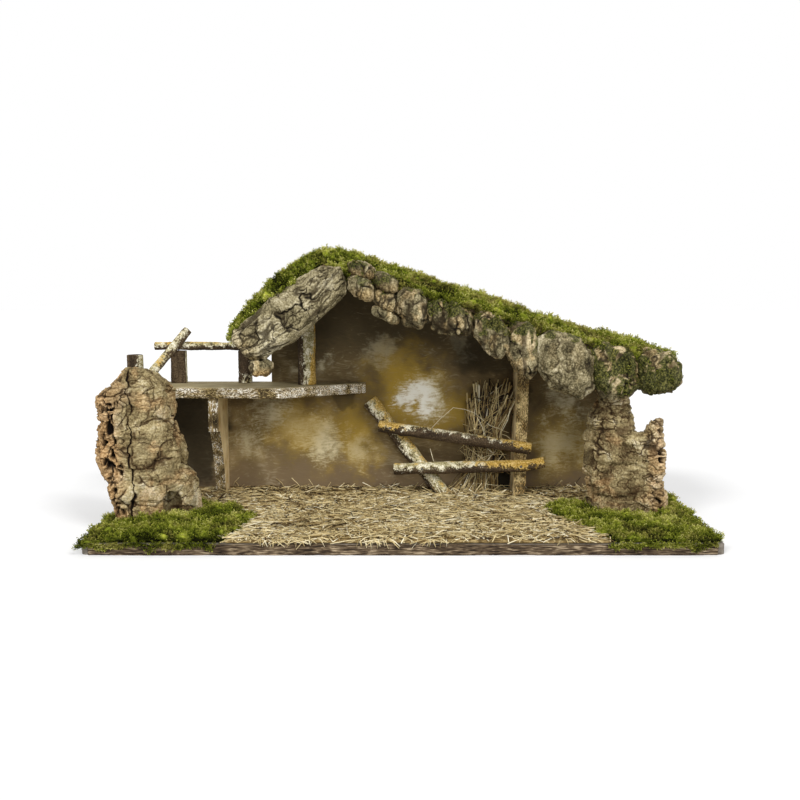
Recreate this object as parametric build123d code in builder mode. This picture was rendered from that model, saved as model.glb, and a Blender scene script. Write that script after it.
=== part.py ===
from build123d import *
import os
from math import asin, atan2, copysign, cos, degrees, hypot, pi, radians, sin, tan

# Wooden nativity stable: a board stage with a painted back wall, a loft with a railing on the
# left, a stall with a manger on the right, and a mossy roof edged with bark on two bark piers.
# Millimetres. The origin is on the ground under the middle of the base, X to the right,
# Y to the back and Z up.

# Fits and cuts
glue_gap = 0.2
bark_gap = 0.5
moss_gap = 0.4
overrun = 5.0

# Base board and the bark strip glued to its front edge
base_width = 600.0
base_depth = 250.0
base_thickness = 10.0
base_corner_radius = 7.0
base_edge_chamfer = 0.8
strip_thickness = 3.0
strip_edge_chamfer = 0.7
strip_end_gap = 8.0

# Back wall, with a gable on the right and a low part behind the loft
wall_thickness = 6.0
wall_set_back = 4.0
wall_left_inset = 8.0
wall_right_inset = 30.0
gable_from_left = 150.0

# Roof: two panels that meet at the ridge
ridge_from_left = 220.0
ridge_height = 270.0
left_run = 90.0
left_pitch = 37.3
roof_right_inset = 17.0
eave_right_height = 164.0
panel_thickness = 5.0
roof_front_set_back = 120.0
roof_rear_reach = 3.0

# Loft floor and the bracket under it
loft_height = 128.0
loft_thickness = 12.0
loft_left_depth = 57.0
loft_depth = 67.0
loft_length = 250.0
loft_right_depth = 7.0
loft_edge_chamfer = 1.0
loft_corner_share = 0.64
bracket_from_left = 93.5
bracket_thickness = 11.0
bracket_set_back = 1.5
bracket_head_height = 37.0
bracket_head_step = 7.0
bracket_foot_depth = 22.0
bracket_bow = 5.0

# Birch post between the loft and the roof
birch_diameter = 20.0
birch_taper_share = 0.94
birch_from_left = 193.0
birch_wall_distance = 28.0

# Railing on the loft and the stick that leans on it
railing_height = 37.0
railing_wall_distance = 9.0
flat_post_width = 17.0
flat_post_thickness = 9.0
flat_post_inset = 38.0
round_post_diameter = 16.0
round_post_eave_gap = 0.6
rail_diameter = 9.4
rail_left_overhang = 27.0
stick_diameter = 10.4
stick_inset = 4.0
stick_loft_set_back = 9.0
stick_reach = 45.0
stick_top_height = 60.0

# Stall post, leaning log, manger rails and straw sheaf on the right
stall_post_from_right = 169.0
stall_post_width = 13.0
stall_post_depth = 40.0
stall_post_lean = 4.0
log_diameter = 16.6
log_taper_share = 0.96
log_foot_offset = 81.0
log_foot_wall_distance = 33.0
log_top_offset = 5.0
log_top_drop = 9.0
manger_rail_diameter = 13.4
manger_rail_taper_share = 0.92
manger_upper_reach = 158.0
manger_upper_left_height = 81.0
manger_upper_right_height = 58.5
manger_upper_overhang = 5.0
manger_lower_reach = 141.0
manger_lower_left_height = 34.0
manger_lower_right_height = 40.0
manger_lower_overhang = 20.0
manger_tip_rise = 3.5
rest_steps = 4
sheaf_height = 132.0
sheaf_lean = 16.0
sheaf_foot_radius = 22.0
sheaf_waist_radius = 14.0
sheaf_top_radius = 27.0
sheaf_flat_share = 0.68
sheaf_waist_share = 0.45
sheaf_shortest_share = 0.74
sheaf_binding_height = 4.0
straw_size = 1.5
straw_pitch = 2.8
golden_share = 0.618

# Bark piers and the posts inside them. Each level gives its rise and how far the bark reaches to
# the left and to the right of the post
pier_left_inset = 29.0
pier_left_set_back = 107.0
pier_left_width = 100.0
pier_left_depth = 50.0
pier_left_height = 157.0
pier_left_core_diameter = 16.6
pier_left_core_height = 169.0
pier_left_middle_share = -0.3
pier_left_skew_share = 0.45
pier_left_levels_shares = (
    (0.0, 0.17, 0.6), (0.14, 0.23, 0.61), (0.27, 0.27, 0.59), (0.34, 0.29, 0.52), (0.45, 0.35, 0.51),
    (0.55, 0.34, 0.44), (0.66, 0.31, 0.37), (0.75, 0.33, 0.41), (0.84, 0.32, 0.37), (0.9, 0.19, 0.32),
    (0.97, 0.1, 0.22), (1.0, 0.06, 0.14),
)
arch_width = 16.0
arch_height = 31.0
arch_right = 38.0
pier_right_inset = 61.0
pier_right_set_back = 24.0
pier_right_width = 100.0
pier_right_depth = 46.0
pier_right_top_gap = 2.0
pier_right_core_diameter = 22.0
pier_right_middle_share = -0.22
pier_right_skew_share = -0.3
pier_right_levels_shares = (
    (0.0, 0.29, 0.53), (0.15, 0.28, 0.54), (0.31, 0.3, 0.49), (0.43, 0.31, 0.54), (0.6, 0.3, 0.52),
    (0.67, 0.29, 0.46), (0.72, 0.28, 0.21), (0.78, 0.28, 0.2), (0.89, 0.25, 0.17), (1.0, 0.17, 0.12),
)
horn_depth = 24.0
horn_levels_shares = ((0.5, 0.24, 0.49, 1.0), (0.68, 0.25, 0.48, 1.0), (0.82, 0.34, 0.47, 0.5))
pier_sides = 20
pier_square_share = 0.8
pier_lobe_share = 0.03
pier_lobe_count = 3
pier_level_turn = 50.0
pier_fissure_share = 0.09
pier_fissure_every = 4
pier_groove_depth = 3.0
pier_lip_share = 0.2

# Bark slab on the left end of the roof, outlined along and across the left pitch
slab_length = 121.0
slab_depth = 44.0
slab_thickness = 22.0
slab_outline_shares = (
    (-0.1, -0.3), (0.02, -0.02), (0.21, 0.07), (0.51, 0.14), (0.75, 0.05), (0.94, 0.05), (1.0, -0.09),
    (0.99, -0.41), (0.98, -0.72), (0.89, -0.93), (0.75, -0.89), (0.6, -1.0), (0.37, -0.95), (0.12, -0.91),
    (0.0, -0.88), (-0.06, -0.68),
)
knob_width = 19.0
knob_height = 14.0
knob_thickness = 17.0
knob_shift = 4.0
slab_front_along_share = 0.94
slab_tip_point = 8

# Bark pieces along the right end of the roof: from and to along the run, then the drops of the
# joints below the panel's upper face at both sides, and the thickness
bark_drop = 60.0
bark_thickness = 30.0
bark_columns_shares = (
    ("ridge", 0.071, 0.139, ((-0.2, -0.2), (0.05, 0.05), (0.33, 0.42)), 0.62),
    ("brow", 0.139, 0.207, ((-0.16, -0.12), (0.15, 0.17), (0.45, 0.5), (0.6, 0.66)), 0.55),
    ("nose", 0.207, 0.287, ((-0.02, 0.0), (0.62, 0.6)), 0.72),
    ("ribbed", 0.287, 0.421, ((0.02, 0.02), (0.6, 0.52)), 0.6),
    ("folded", 0.421, 0.515, ((0.02, 0.02), (0.58, 0.78)), 0.66),
    ("split", 0.515, 0.598, ((0.02, 0.0), (0.82, 0.94)), 0.7),
    ("round", 0.598, 0.749, ((0.0, 0.0), (0.9, 1.0)), 1.0),
    ("mossy", 0.749, 0.876, ((-0.04, -0.08), (0.92, 0.7)), 0.86),
    ("end", 0.876, 1.0, ((-0.16, -0.22), (0.66, 0.36)), 0.8),
)
bark_bevel_share = 0.24
bark_front_share = 0.74
bark_belly_share = 0.6

# Moss on the roof and on the ground, and straw on the floor
moss_left_height = 29.0
moss_left_run_shares = (0.0, 0.25, 0.6, 0.82, 1.0)
moss_left_rise_shares = (0.62, 0.93, 1.0, 0.86, 0.46)
moss_right_height = 18.0
moss_right_run_shares = (0.0, 0.21, 0.35, 0.49, 0.63, 0.77, 0.91, 1.0)
moss_right_rise_shares = (1.0, 1.0, 0.94, 0.88, 0.72, 0.7, 1.0, 0.75)
moss_depth_shares = (0.0, 0.14, 0.86, 1.0)
moss_rise_shares = (0.55, 1.0, 1.0, 0.5)
ground_moss_edge_inset = 2.0
ground_moss_left_width = 146.0
ground_moss_left_depth = 186.0
ground_moss_left_height = 9.0
ground_moss_left_outline_shares = (
    (0.0, 0.0), (0.9, 0.0), (0.97, 0.28), (1.0, 0.5), (0.82, 0.68), (0.62, 0.82), (0.45, 1.0), (0.0, 1.0)
)
ground_moss_right_width = 152.0
ground_moss_right_depth = 199.0
ground_moss_right_height = 8.0
ground_moss_right_outline_shares = (
    (0.0, 0.0), (0.68, 0.0), (0.75, 0.1), (0.9, 0.4), (1.0, 0.63), (0.88, 0.74), (0.62, 0.85), (0.45, 1.0),
    (0.0, 1.0),
)
ground_moss_level_shares = ((0.0, 0.97), (0.55, 1.0), (1.0, 0.86))
straw_mat_thickness = 3.0
straw_mat_left_inset = 72.0
straw_mat_right_inset = 50.0
straw_mat_edge_inset = 1.0

# Brads that pin the wall, the roof and the manger
brad_length = 22.0
brad_shank_diameter = 1.3
brad_head_diameter = 2.6
brad_head_thickness = 0.8
brad_hole_gap = 0.1
brad_sink = 0.4
roof_left_brad_shares = (0.25, 0.7)
roof_right_brad_shares = (0.06, 0.33, 0.6, 0.87)
bracket_brad_shares = (0.25, 0.8)
stall_post_brad_shares = (0.2, 0.65)
loft_brad_shares = (0.3, 0.7)

# Places that follow from the sizes above
base_left = -base_width / 2
base_right = base_width / 2
base_front = -base_depth / 2
base_rear = base_depth / 2
base_top = base_thickness
board_front = base_front + strip_thickness
wall_rear = base_rear - wall_set_back
wall_front = wall_rear - wall_thickness
wall_left = base_left + wall_left_inset
gable_left = base_left + gable_from_left
ridge_x = base_left + ridge_from_left
roof_front = base_front + roof_front_set_back
roof_rear = wall_rear + roof_rear_reach
roof_left_end = ridge_x - left_run
roof_right_end = base_right - roof_right_inset
right_run = roof_right_end - ridge_x
right_pitch = degrees(atan2(ridge_height - eave_right_height, right_run))
wall_right = roof_right_end - wall_right_inset
loft_top = base_top + loft_height
loft_under = loft_top - loft_thickness
loft_right_end = wall_left + loft_length
bracket_x = base_left + bracket_from_left
birch_x = base_left + birch_from_left
rail_y = wall_front - railing_wall_distance
rail_z = loft_top + railing_height + glue_gap + rail_diameter / 2
flat_post_x = wall_left + flat_post_inset
round_post_x = roof_left_end - round_post_eave_gap - round_post_diameter / 2
stall_post_x = base_right - stall_post_from_right
stall_post_front = wall_front - stall_post_depth
stall_post_left = stall_post_x - stall_post_width / 2
sheaf_x = stall_post_left - bark_gap - sheaf_top_radius - sheaf_lean
sheaf_y = wall_front - bark_gap - sheaf_top_radius * sheaf_flat_share
pier_left_x = base_left + pier_left_inset
pier_left_y = base_front + pier_left_set_back
pier_right_x = roof_right_end - pier_right_inset
pier_right_y = roof_front + pier_right_set_back
on_foot = (Align.CENTER, Align.CENTER, Align.MIN)


def pitch_at(x):
    """Pitch of the roof panel over x, in radians."""
    return radians(left_pitch if x < ridge_x else right_pitch)


def roof_top(x):
    """Height of the panels' upper face at x."""
    return ridge_height - abs(x - ridge_x) * tan(pitch_at(x))


def roof_under(x):
    """Height of the panels' lower face at x."""
    return roof_top(x) - panel_thickness / cos(pitch_at(x))


def loft_front(x):
    """Y of the loft floor's straight front edge at x."""
    corner = wall_left + (loft_right_end - wall_left) * loft_corner_share
    share = (x - wall_left) / (corner - wall_left)
    return wall_front - loft_left_depth - (loft_depth - loft_left_depth) * share


def upright(y):
    """Upright plane across the stable at y, with X along it and Z up it."""
    return Plane.XZ.offset(-y)


def save(piece, name):
    """Label a finished piece and write it."""
    piece.part.label = name
    export_step(piece.part, f"parts/{name}.step")


def faceted(sections):
    """Solid with straight facets through closed outlines, given as (plane, points) pairs."""
    with BuildPart() as solid:
        for plane, points in sections:
            with BuildSketch(plane):
                with BuildLine():
                    Polyline(*points, close=True)
                make_face()
        loft(ruled=True)
    return solid


def scaled(points, u_share, v_share):
    """Outline drawn in towards its middle, by its own share each way."""
    middle_u = sum(point[0] for point in points) / len(points)
    middle_v = sum(point[1] for point in points) / len(points)
    return [(middle_u + (u - middle_u) * u_share, middle_v + (v - middle_v) * v_share) for u, v in points]


def bevelled(corners):
    """Outline with each corner cut off."""
    points = []
    for index, (u, v) in enumerate(corners):
        for other_u, other_v in (corners[index - 1], corners[(index + 1) % len(corners)]):
            points.append((u + (other_u - u) * bark_bevel_share, v + (other_v - v) * bark_bevel_share))
    return points


def round_stick(stations):
    """Natural stick lofted through circles, given as (centre, radius) pairs."""
    with BuildPart() as stick:
        for index, (centre, radius) in enumerate(stations):
            before = Vector(*stations[max(index - 1, 0)][0])
            after = Vector(*stations[min(index + 1, len(stations) - 1)][0])
            with BuildSketch(Plane(Vector(*centre), z_dir=after - before)):
                Circle(radius)
        loft(ruled=True)
    return stick


def brad(head, direction):
    """Brad with its head at a point, driven along a direction."""
    with BuildPart(Plane(Vector(*head), z_dir=Vector(*direction))) as nail:
        Cylinder(brad_head_diameter / 2, brad_head_thickness, align=on_foot)
        Cylinder(brad_shank_diameter / 2, brad_length, align=on_foot)
    return nail.part


def brad_hole(head, direction):
    """Cutter for the hole that the brad sits in, open behind its head."""
    outside = Vector(*head) - Vector(*direction) * overrun
    head_depth = overrun + brad_head_thickness + brad_hole_gap
    shank_depth = overrun + brad_length + brad_hole_gap
    with BuildPart(Plane(outside, z_dir=Vector(*direction))) as hole:
        Cylinder(brad_head_diameter / 2 + brad_hole_gap, head_depth, align=on_foot)
        Cylinder(brad_shank_diameter / 2 + brad_hole_gap, shank_depth, align=on_foot)
    return hole.part


def brad_holes(places):
    """Cutters for a list of brads."""
    return [brad_hole(head, direction) for head, direction in places]


def save_brads(places, name):
    """Write one group of brads."""
    group = Compound(label=name, children=[brad(head, direction) for head, direction in places])
    export_step(group, f"parts/{name}.step")


os.makedirs("parts", exist_ok=True)

# Where the brads go
wall_middle = wall_front + wall_thickness / 2
roof_brads = []
for run, shares, side in ((left_run, roof_left_brad_shares, -1), (right_run, roof_right_brad_shares, 1)):
    for share in shares:
        x = ridge_x + side * run * share
        lean = side * sin(pitch_at(x))
        roof_brads.append(((x, wall_middle, roof_top(x)), (-lean, 0, -cos(pitch_at(x)))))
stall_post_height = roof_under(stall_post_x) - base_top
into_wall = (0, -1, 0)
bracket_brads = [
    ((bracket_x, wall_rear, base_top + (loft_under - base_top) * share), into_wall)
    for share in bracket_brad_shares
]
stall_brads = [
    ((stall_post_x + stall_post_lean * share, wall_rear, base_top + stall_post_height * share), into_wall)
    for share in stall_post_brad_shares
]
loft_middle = loft_top - loft_thickness / 2
loft_brads = [
    ((gable_left + (loft_right_end - gable_left) * share, wall_rear, loft_middle), into_wall)
    for share in loft_brad_shares
]
wall_brads = bracket_brads + stall_brads + loft_brads

# Base board
with BuildPart() as base_board:
    with BuildSketch() as base_outline:
        with Locations((0, (board_front + base_rear) / 2)):
            Rectangle(base_width, base_rear - board_front)
        fillet(base_outline.vertices(), radius=base_corner_radius)
    extrude(amount=base_thickness)
    chamfer(base_board.faces().sort_by(Axis.Z)[-1].edges(), length=base_edge_chamfer)
save(base_board, "base_board")

# Bark strip on the front edge
with BuildPart() as front_bark_strip:
    with BuildSketch(upright(board_front)):
        with Locations((0, base_thickness / 2)):
            Rectangle(base_width - 2 * strip_end_gap, base_thickness)
    extrude(amount=strip_thickness)
    chamfer(front_bark_strip.faces().sort_by(Axis.Y)[0].edges(), length=strip_edge_chamfer)
save(front_bark_strip, "front_bark_strip")

# Back wall
left_under_ridge = ridge_height - panel_thickness / cos(radians(left_pitch))
with BuildPart() as back_wall:
    with BuildSketch(upright(wall_rear)):
        with BuildLine():
            Polyline(
                (wall_left, base_top),
                (wall_right, base_top),
                (wall_right, roof_under(wall_right)),
                (ridge_x, roof_under(ridge_x)),
                (ridge_x, left_under_ridge),
                (gable_left, roof_under(gable_left)),
                (gable_left, loft_under),
                (wall_left, loft_under),
                close=True,
            )
        make_face()
    extrude(amount=wall_thickness)
    add(brad_holes(roof_brads + wall_brads), mode=Mode.SUBTRACT)
save(back_wall, "back_wall")


def roof_panel(end_x, pitch):
    """Panel from the ridge to one end, cut upright at both."""
    drop = panel_thickness / cos(radians(pitch))
    with BuildPart() as panel:
        with BuildSketch(upright(roof_rear)):
            with BuildLine():
                Polyline(
                    (ridge_x, ridge_height),
                    (end_x, roof_top(end_x)),
                    (end_x, roof_top(end_x) - drop),
                    (ridge_x, ridge_height - drop),
                    close=True,
                )
            make_face()
        extrude(amount=roof_rear - roof_front)
        add(brad_holes(roof_brads), mode=Mode.SUBTRACT)
    return panel


save(roof_panel(roof_left_end, left_pitch), "roof_panel_left")
save(roof_panel(roof_right_end, right_pitch), "roof_panel_right")

# Loft floor, its right corner sawn off towards the wall
loft_corner = wall_left + (loft_right_end - wall_left) * loft_corner_share
with BuildPart() as loft_floor:
    with BuildSketch(Plane.XY.offset(loft_under)):
        with BuildLine():
            Polyline(
                (wall_left, wall_rear),
                (wall_left, loft_front(wall_left)),
                (loft_corner, loft_front(loft_corner)),
                (loft_right_end, wall_front - loft_right_depth),
                (loft_right_end, wall_front),
                (gable_left, wall_front),
                (gable_left, wall_rear),
                close=True,
            )
        make_face()
    extrude(amount=loft_thickness)
    rims = loft_floor.edges().group_by(Axis.Z)[0] + loft_floor.edges().group_by(Axis.Z)[-1]
    sawn_edges = rims.filter_by(lambda edge: edge.center().Y < wall_front - loft_right_depth)
    chamfer(sawn_edges.filter_by(lambda edge: edge.center().X > wall_left), length=loft_edge_chamfer)
    add(brad_holes(loft_brads), mode=Mode.SUBTRACT)
save(loft_floor, "loft_floor")

# Bracket under the loft, sawn back in a hollow curve below its head
bracket_left = bracket_x - bracket_thickness / 2
bracket_front = loft_front(bracket_left) + bracket_set_back
bracket_step_z = loft_under - bracket_head_height
curve_top = (bracket_front + bracket_head_step, bracket_step_z)
curve_foot = (wall_front - bracket_foot_depth, base_top)
with BuildPart() as loft_bracket:
    with BuildSketch(Plane.YZ.offset(bracket_left)):
        with BuildLine():
            SagittaArc(curve_top, curve_foot, bracket_bow)
            Polyline(
                curve_foot,
                (wall_front, base_top),
                (wall_front, loft_under),
                (bracket_front, loft_under),
                (bracket_front, bracket_step_z),
                curve_top,
            )
        make_face()
    extrude(amount=bracket_thickness)
    add(brad_holes(bracket_brads), mode=Mode.SUBTRACT)
save(loft_bracket, "loft_bracket")

# Birch post, its top sawn to the pitch of the roof
birch_y = wall_front - birch_wall_distance
left_pitch_up = Vector(-sin(radians(left_pitch)), 0, cos(radians(left_pitch)))
with BuildPart() as birch_post:
    with BuildSketch(Plane.XY.offset(loft_top)):
        with Locations((birch_x, birch_y)):
            Circle(birch_diameter / 2)
    with BuildSketch(Plane.XY.offset(ridge_height)):
        with Locations((birch_x, birch_y)):
            Circle(birch_diameter / 2 * birch_taper_share)
    loft()
    split(
        bisect_by=Plane(Vector(birch_x, birch_y, roof_under(birch_x) - glue_gap), z_dir=left_pitch_up),
        keep=Keep.BOTTOM,
    )
save(birch_post, "birch_post")

# Railing: a flat post, a round post and the rail that lies on both
rail_left = flat_post_x - rail_left_overhang
rail_right = round_post_x + round_post_diameter / 2
railing_brads = [
    ((x, rail_y, rail_z + rail_diameter / 2 - brad_sink), (0, 0, -1)) for x in (flat_post_x, round_post_x)
]
railing_holes = brad_holes(railing_brads)
with BuildPart() as railing_post_flat:
    with Locations((flat_post_x, rail_y, loft_top)):
        Box(flat_post_width, flat_post_thickness, railing_height, align=on_foot)
    add(railing_holes, mode=Mode.SUBTRACT)
save(railing_post_flat, "railing_post_flat")
with BuildPart() as railing_post_round:
    with Locations((round_post_x, rail_y, loft_top)):
        Cylinder(round_post_diameter / 2, railing_height, align=on_foot)
    add(railing_holes, mode=Mode.SUBTRACT)
save(railing_post_round, "railing_post_round")
rail_ends = [((x, rail_y, rail_z), rail_diameter / 2) for x in (rail_left, rail_right)]
with BuildPart() as railing_rail:
    add(round_stick(rail_ends).part)
    add(railing_holes, mode=Mode.SUBTRACT)
save(railing_rail, "railing_rail")
save_brads(railing_brads, "railing_brads")

# Leaning stick: it stands on the loft and touches the rail, so seen from the side its axis is a
# tangent to a circle round the rail
stick_foot_x = wall_left + stick_inset
stick_foot = Vector(stick_foot_x, loft_front(stick_foot_x) + stick_loft_set_back, loft_top)
to_rail = hypot(rail_y - stick_foot.Y, rail_z - stick_foot.Z)
rest_distance = (rail_diameter + stick_diameter) / 2 + glue_gap
stick_slope = atan2(rail_z - stick_foot.Z, rail_y - stick_foot.Y) + asin(rest_distance / to_rail)
stick_rise = Vector(stick_reach, stick_top_height / tan(stick_slope), stick_top_height)
stick_start = stick_foot - stick_rise.normalized() * stick_diameter
with BuildPart() as leaning_stick:
    stick_ends = [(tuple(point), stick_diameter / 2) for point in (stick_start, stick_foot + stick_rise)]
    add(round_stick(stick_ends).part)
    split(bisect_by=Plane.XY.offset(loft_top), keep=Keep.TOP)
save(leaning_stick, "leaning_stick")

# Stall post, a board on edge that leans a little
stall_post_right = stall_post_left + stall_post_width
stall_top_left = stall_post_left + stall_post_lean
stall_top_right = stall_post_right + stall_post_lean
with BuildPart() as stall_post:
    with BuildSketch(upright(wall_front)):
        with BuildLine():
            Polyline(
                (stall_post_left, base_top),
                (stall_post_right, base_top),
                (stall_top_right, roof_under(stall_top_right) - glue_gap),
                (stall_top_left, roof_under(stall_top_left) - glue_gap),
                close=True,
            )
        make_face()
    extrude(amount=stall_post_depth)
    stall_post_block = stall_post.part

# Leaning log: it stands on the base and its top touches the wall under the end of the loft
log_radius = log_diameter / 2
log_foot = Vector(stall_post_x - log_foot_offset, wall_front - log_foot_wall_distance, base_top)
log_top_y = wall_front - log_radius - glue_gap
log_top = Vector(loft_right_end + log_top_offset, log_top_y, loft_under - log_top_drop)
log_axis = log_top - log_foot
log_start = log_foot - log_axis.normalized() * log_diameter


def log_solid(grow):
    """The leaning log, grown all round by a clearance."""
    foot_radius = log_radius * log_taper_share + grow
    with BuildPart() as log:
        add(round_stick([(tuple(log_start), foot_radius), (tuple(log_top), log_radius + grow)]).part)
        split(bisect_by=Plane.XY.offset(base_top), keep=Keep.TOP)
    return log


class MangerRail:
    """A rail in front of the stall post and the leaning log, touching both."""

    def __init__(self, left_x, left_height, right_height, overhang, tip_rise):
        radius = manger_rail_diameter / 2
        right_x = stall_post_right + overhang
        run = right_x - left_x
        rise = right_height - left_height
        foot = log_foot - Vector(left_x, 0, base_top + left_height)
        along = (foot.X * log_axis.Z - foot.Z * log_axis.X) / (run * log_axis.Z - rise * log_axis.X)
        cross_x = left_x + run * along
        cross_z = base_top + left_height + rise * along
        log_y = log_foot.Y + log_axis.Y * (cross_z - base_top) / log_axis.Z
        post_y = stall_post_front - radius - glue_gap
        spacing = radius + log_radius * max(1, log_taper_share) + glue_gap
        cross_y = log_y - spacing
        for _ in range(rest_steps):
            slope = (cross_y - post_y) / (cross_x - stall_post_left)
            normal = Vector(run, slope * run, rise).cross(log_axis)
            cross_y = log_y - spacing * normal.length / abs(normal.Y)
        ends = []
        tip = (right_x, tip_rise, manger_rail_taper_share)
        for x, lift, share in ((left_x, 0, 1), (stall_post_right, 0, 1), tip):
            z = base_top + left_height + rise * (x - left_x) / run + lift
            ends.append(((x, post_y + slope * (x - stall_post_left), z), radius * share))
        post_middle = (stall_post_left + stall_post_right) / 2
        post_z = base_top + left_height + rise * (post_middle - left_x) / run
        middle_y = post_y + slope * (post_middle - stall_post_left)
        self.stations = ends
        self.brads = [
            ((cross_x, cross_y - radius + brad_sink, cross_z), (0, 1, 0)),
            ((post_middle, middle_y - radius + brad_sink, post_z), (0, 1, 0)),
        ]


upper = MangerRail(
    stall_post_x - manger_upper_reach, manger_upper_left_height, manger_upper_right_height,
    manger_upper_overhang, 0,
)
lower = MangerRail(
    stall_post_x - manger_lower_reach, manger_lower_left_height, manger_lower_right_height,
    manger_lower_overhang, manger_tip_rise,
)
manger_brads = upper.brads + lower.brads
manger_holes = brad_holes(manger_brads)
for rail, name in ((upper, "manger_rail_upper"), (lower, "manger_rail_lower")):
    with BuildPart() as manger_rail:
        add(round_stick(rail.stations).part)
        add(manger_holes, mode=Mode.SUBTRACT)
    save(manger_rail, name)
with BuildPart() as leaning_log:
    add(log_solid(0).part)
    add(manger_holes, mode=Mode.SUBTRACT)
save(leaning_log, "leaning_log")
with BuildPart() as stall_post_drilled:
    add(stall_post_block)
    add(manger_holes, mode=Mode.SUBTRACT)
    add(brad_holes(stall_brads), mode=Mode.SUBTRACT)
save(stall_post_drilled, "stall_post")
save_brads(manger_brads, "manger_brads")
save_brads(roof_brads, "roof_brads")
save_brads(wall_brads, "wall_brads")

# Straw sheaf: rings of stalks, drawn in at the waist and spread at the foot and the top
sheaf_rings = int(sheaf_waist_radius / straw_pitch)
sheaf_levels_shares = (0.0, sheaf_waist_share, 1.0)
sheaf_radii = (sheaf_foot_radius, sheaf_waist_radius, sheaf_top_radius)


def stalk(ring_share, angle, length_share):
    """One four-sided stalk from the foot of the sheaf through its waist to its top."""
    sections = []
    for level, radius in zip(sheaf_levels_shares, sheaf_radii):
        reached = min(level, length_share)
        past_waist_share = (reached - sheaf_waist_share) / (1 - sheaf_waist_share)
        if reached > sheaf_waist_share:
            radius = sheaf_waist_radius + (sheaf_top_radius - sheaf_waist_radius) * past_waist_share
        half = straw_size / 2 * radius / sheaf_waist_radius
        u = sheaf_x + sheaf_lean * reached + radius * ring_share * cos(angle)
        v = sheaf_y + radius * ring_share * sin(angle) * sheaf_flat_share
        corners = [(u - half, v - half), (u + half, v - half), (u + half, v + half), (u - half, v + half)]
        sections.append((Plane.XY.offset(base_top + sheaf_height * reached), corners))
    return faceted(sections).part


stalks = []
for ring in range(sheaf_rings):
    ring_share = (ring + 1 / 2) / sheaf_rings
    count = int(2 * pi * sheaf_waist_radius * ring_share / straw_pitch)
    for index in range(count):
        mixed_share = (len(stalks) * golden_share) % 1
        length_share = sheaf_shortest_share + (1 - sheaf_shortest_share) * mixed_share
        stalks.append(stalk(ring_share, 2 * pi * (index + ring_share) / count, length_share))
binding_reach = sheaf_waist_radius * (sheaf_rings - 1 / 2) / sheaf_rings
with BuildPart() as straw_sheaf:
    with BuildSketch(Plane.XY.offset(base_top + sheaf_height * sheaf_waist_share - sheaf_binding_height / 2)):
        with Locations((sheaf_x + sheaf_lean * sheaf_waist_share, sheaf_y)):
            Ellipse(binding_reach, binding_reach * sheaf_flat_share)
    extrude(amount=sheaf_binding_height)
    add(stalks)
save(straw_sheaf, "straw_sheaf")


# Bark piers
def fascia_under(x):
    """Height of the lower edge of the bark along the right end of the roof at x."""
    along = (x - ridge_x) / right_run
    for _, start, end, joints, _ in bark_columns_shares:
        if start <= along <= end:
            left_drop, right_drop = joints[-1]
            passed = (along - start) / (end - start)
            return roof_top(x) - bark_drop * (left_drop + (right_drop - left_drop) * passed)
    return roof_under(x)


def squared(value):
    """Sine or cosine of a circle that is drawn out towards a square."""
    return copysign(abs(value) ** pier_square_share, value)


class Pier:
    """A trunk of bark, open at the back, round a post."""

    def __init__(self, place, size, levels_shares, middle_share, skew_share, core_diameter):
        self.x, self.y = place
        self.width, self.depth, self.height = size
        self.levels_shares = levels_shares
        self.middle_share = middle_share
        self.skew_share = skew_share
        self.core_radius = core_diameter / 2

    def middle(self, u):
        """Y of the middle of the bark at u to the right of the post."""
        return self.y + self.depth * self.middle_share + self.skew_share * u

    def ring(self, level, grow, groove_depth):
        """Outline of the bark at a level or between two, drawn in where a plate ends."""
        below = min(int(level), len(self.levels_shares) - 2)
        pairs = zip(self.levels_shares[below], self.levels_shares[below + 1])
        rise, left, right = [low + (high - low) * (level - below) for low, high in pairs]
        half_width = self.width * (left + right) / 2 + grow
        half_depth = self.depth / 2 * (left + right) ** (1 / 2) + grow
        centre = self.width * (right - left) / 2
        points = []
        for side in range(pier_sides):
            angle = 2 * pi * side / pier_sides
            reach = 1 + pier_lobe_share * cos(pier_lobe_count * angle + radians(pier_level_turn) * level)
            if (side + 1) % pier_fissure_every == 0:
                reach -= pier_fissure_share
            plate_ends = (side // pier_fissure_every + level) % 2 == 0
            inset = groove_depth if plate_ends else 0
            u = centre + (half_width * reach - inset) * squared(cos(angle))
            v = (half_depth * reach - inset) * squared(sin(angle))
            points.append((self.x + u, self.middle(u) + v))
        return Plane.XY.offset(base_top + self.height * rise), points

    def bark(self):
        """Plates of bark with fissures beside them and grooves above and below them."""
        levels = [0]
        for level in range(1, len(self.levels_shares)):
            levels += [level - 1 + pier_lip_share, level - pier_lip_share, level]
        return faceted([self.ring(level, 0, pier_groove_depth) for level in levels]).part

    def channel(self):
        """Cutter for the channel, open at the back, in which the post stands."""
        bore = 2 * (self.core_radius + glue_gap)
        with BuildPart() as channel:
            with BuildSketch(Plane.XY.offset(base_top - overrun)):
                with Locations((self.x, self.y)):
                    Circle(bore / 2)
                with Locations((self.x, self.y + self.depth / 2)):
                    Rectangle(bore, self.depth)
            extrude(amount=ridge_height)
        return channel.part

    def room(self):
        """Cutter that leaves room for the bark and the post."""
        with BuildPart() as room:
            add(faceted([self.ring(level, moss_gap, 0) for level in range(len(self.levels_shares))]).part)
            with Locations((self.x, self.y, base_top)):
                Cylinder(self.core_radius + moss_gap, self.height, align=on_foot)
        return room.part


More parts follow.
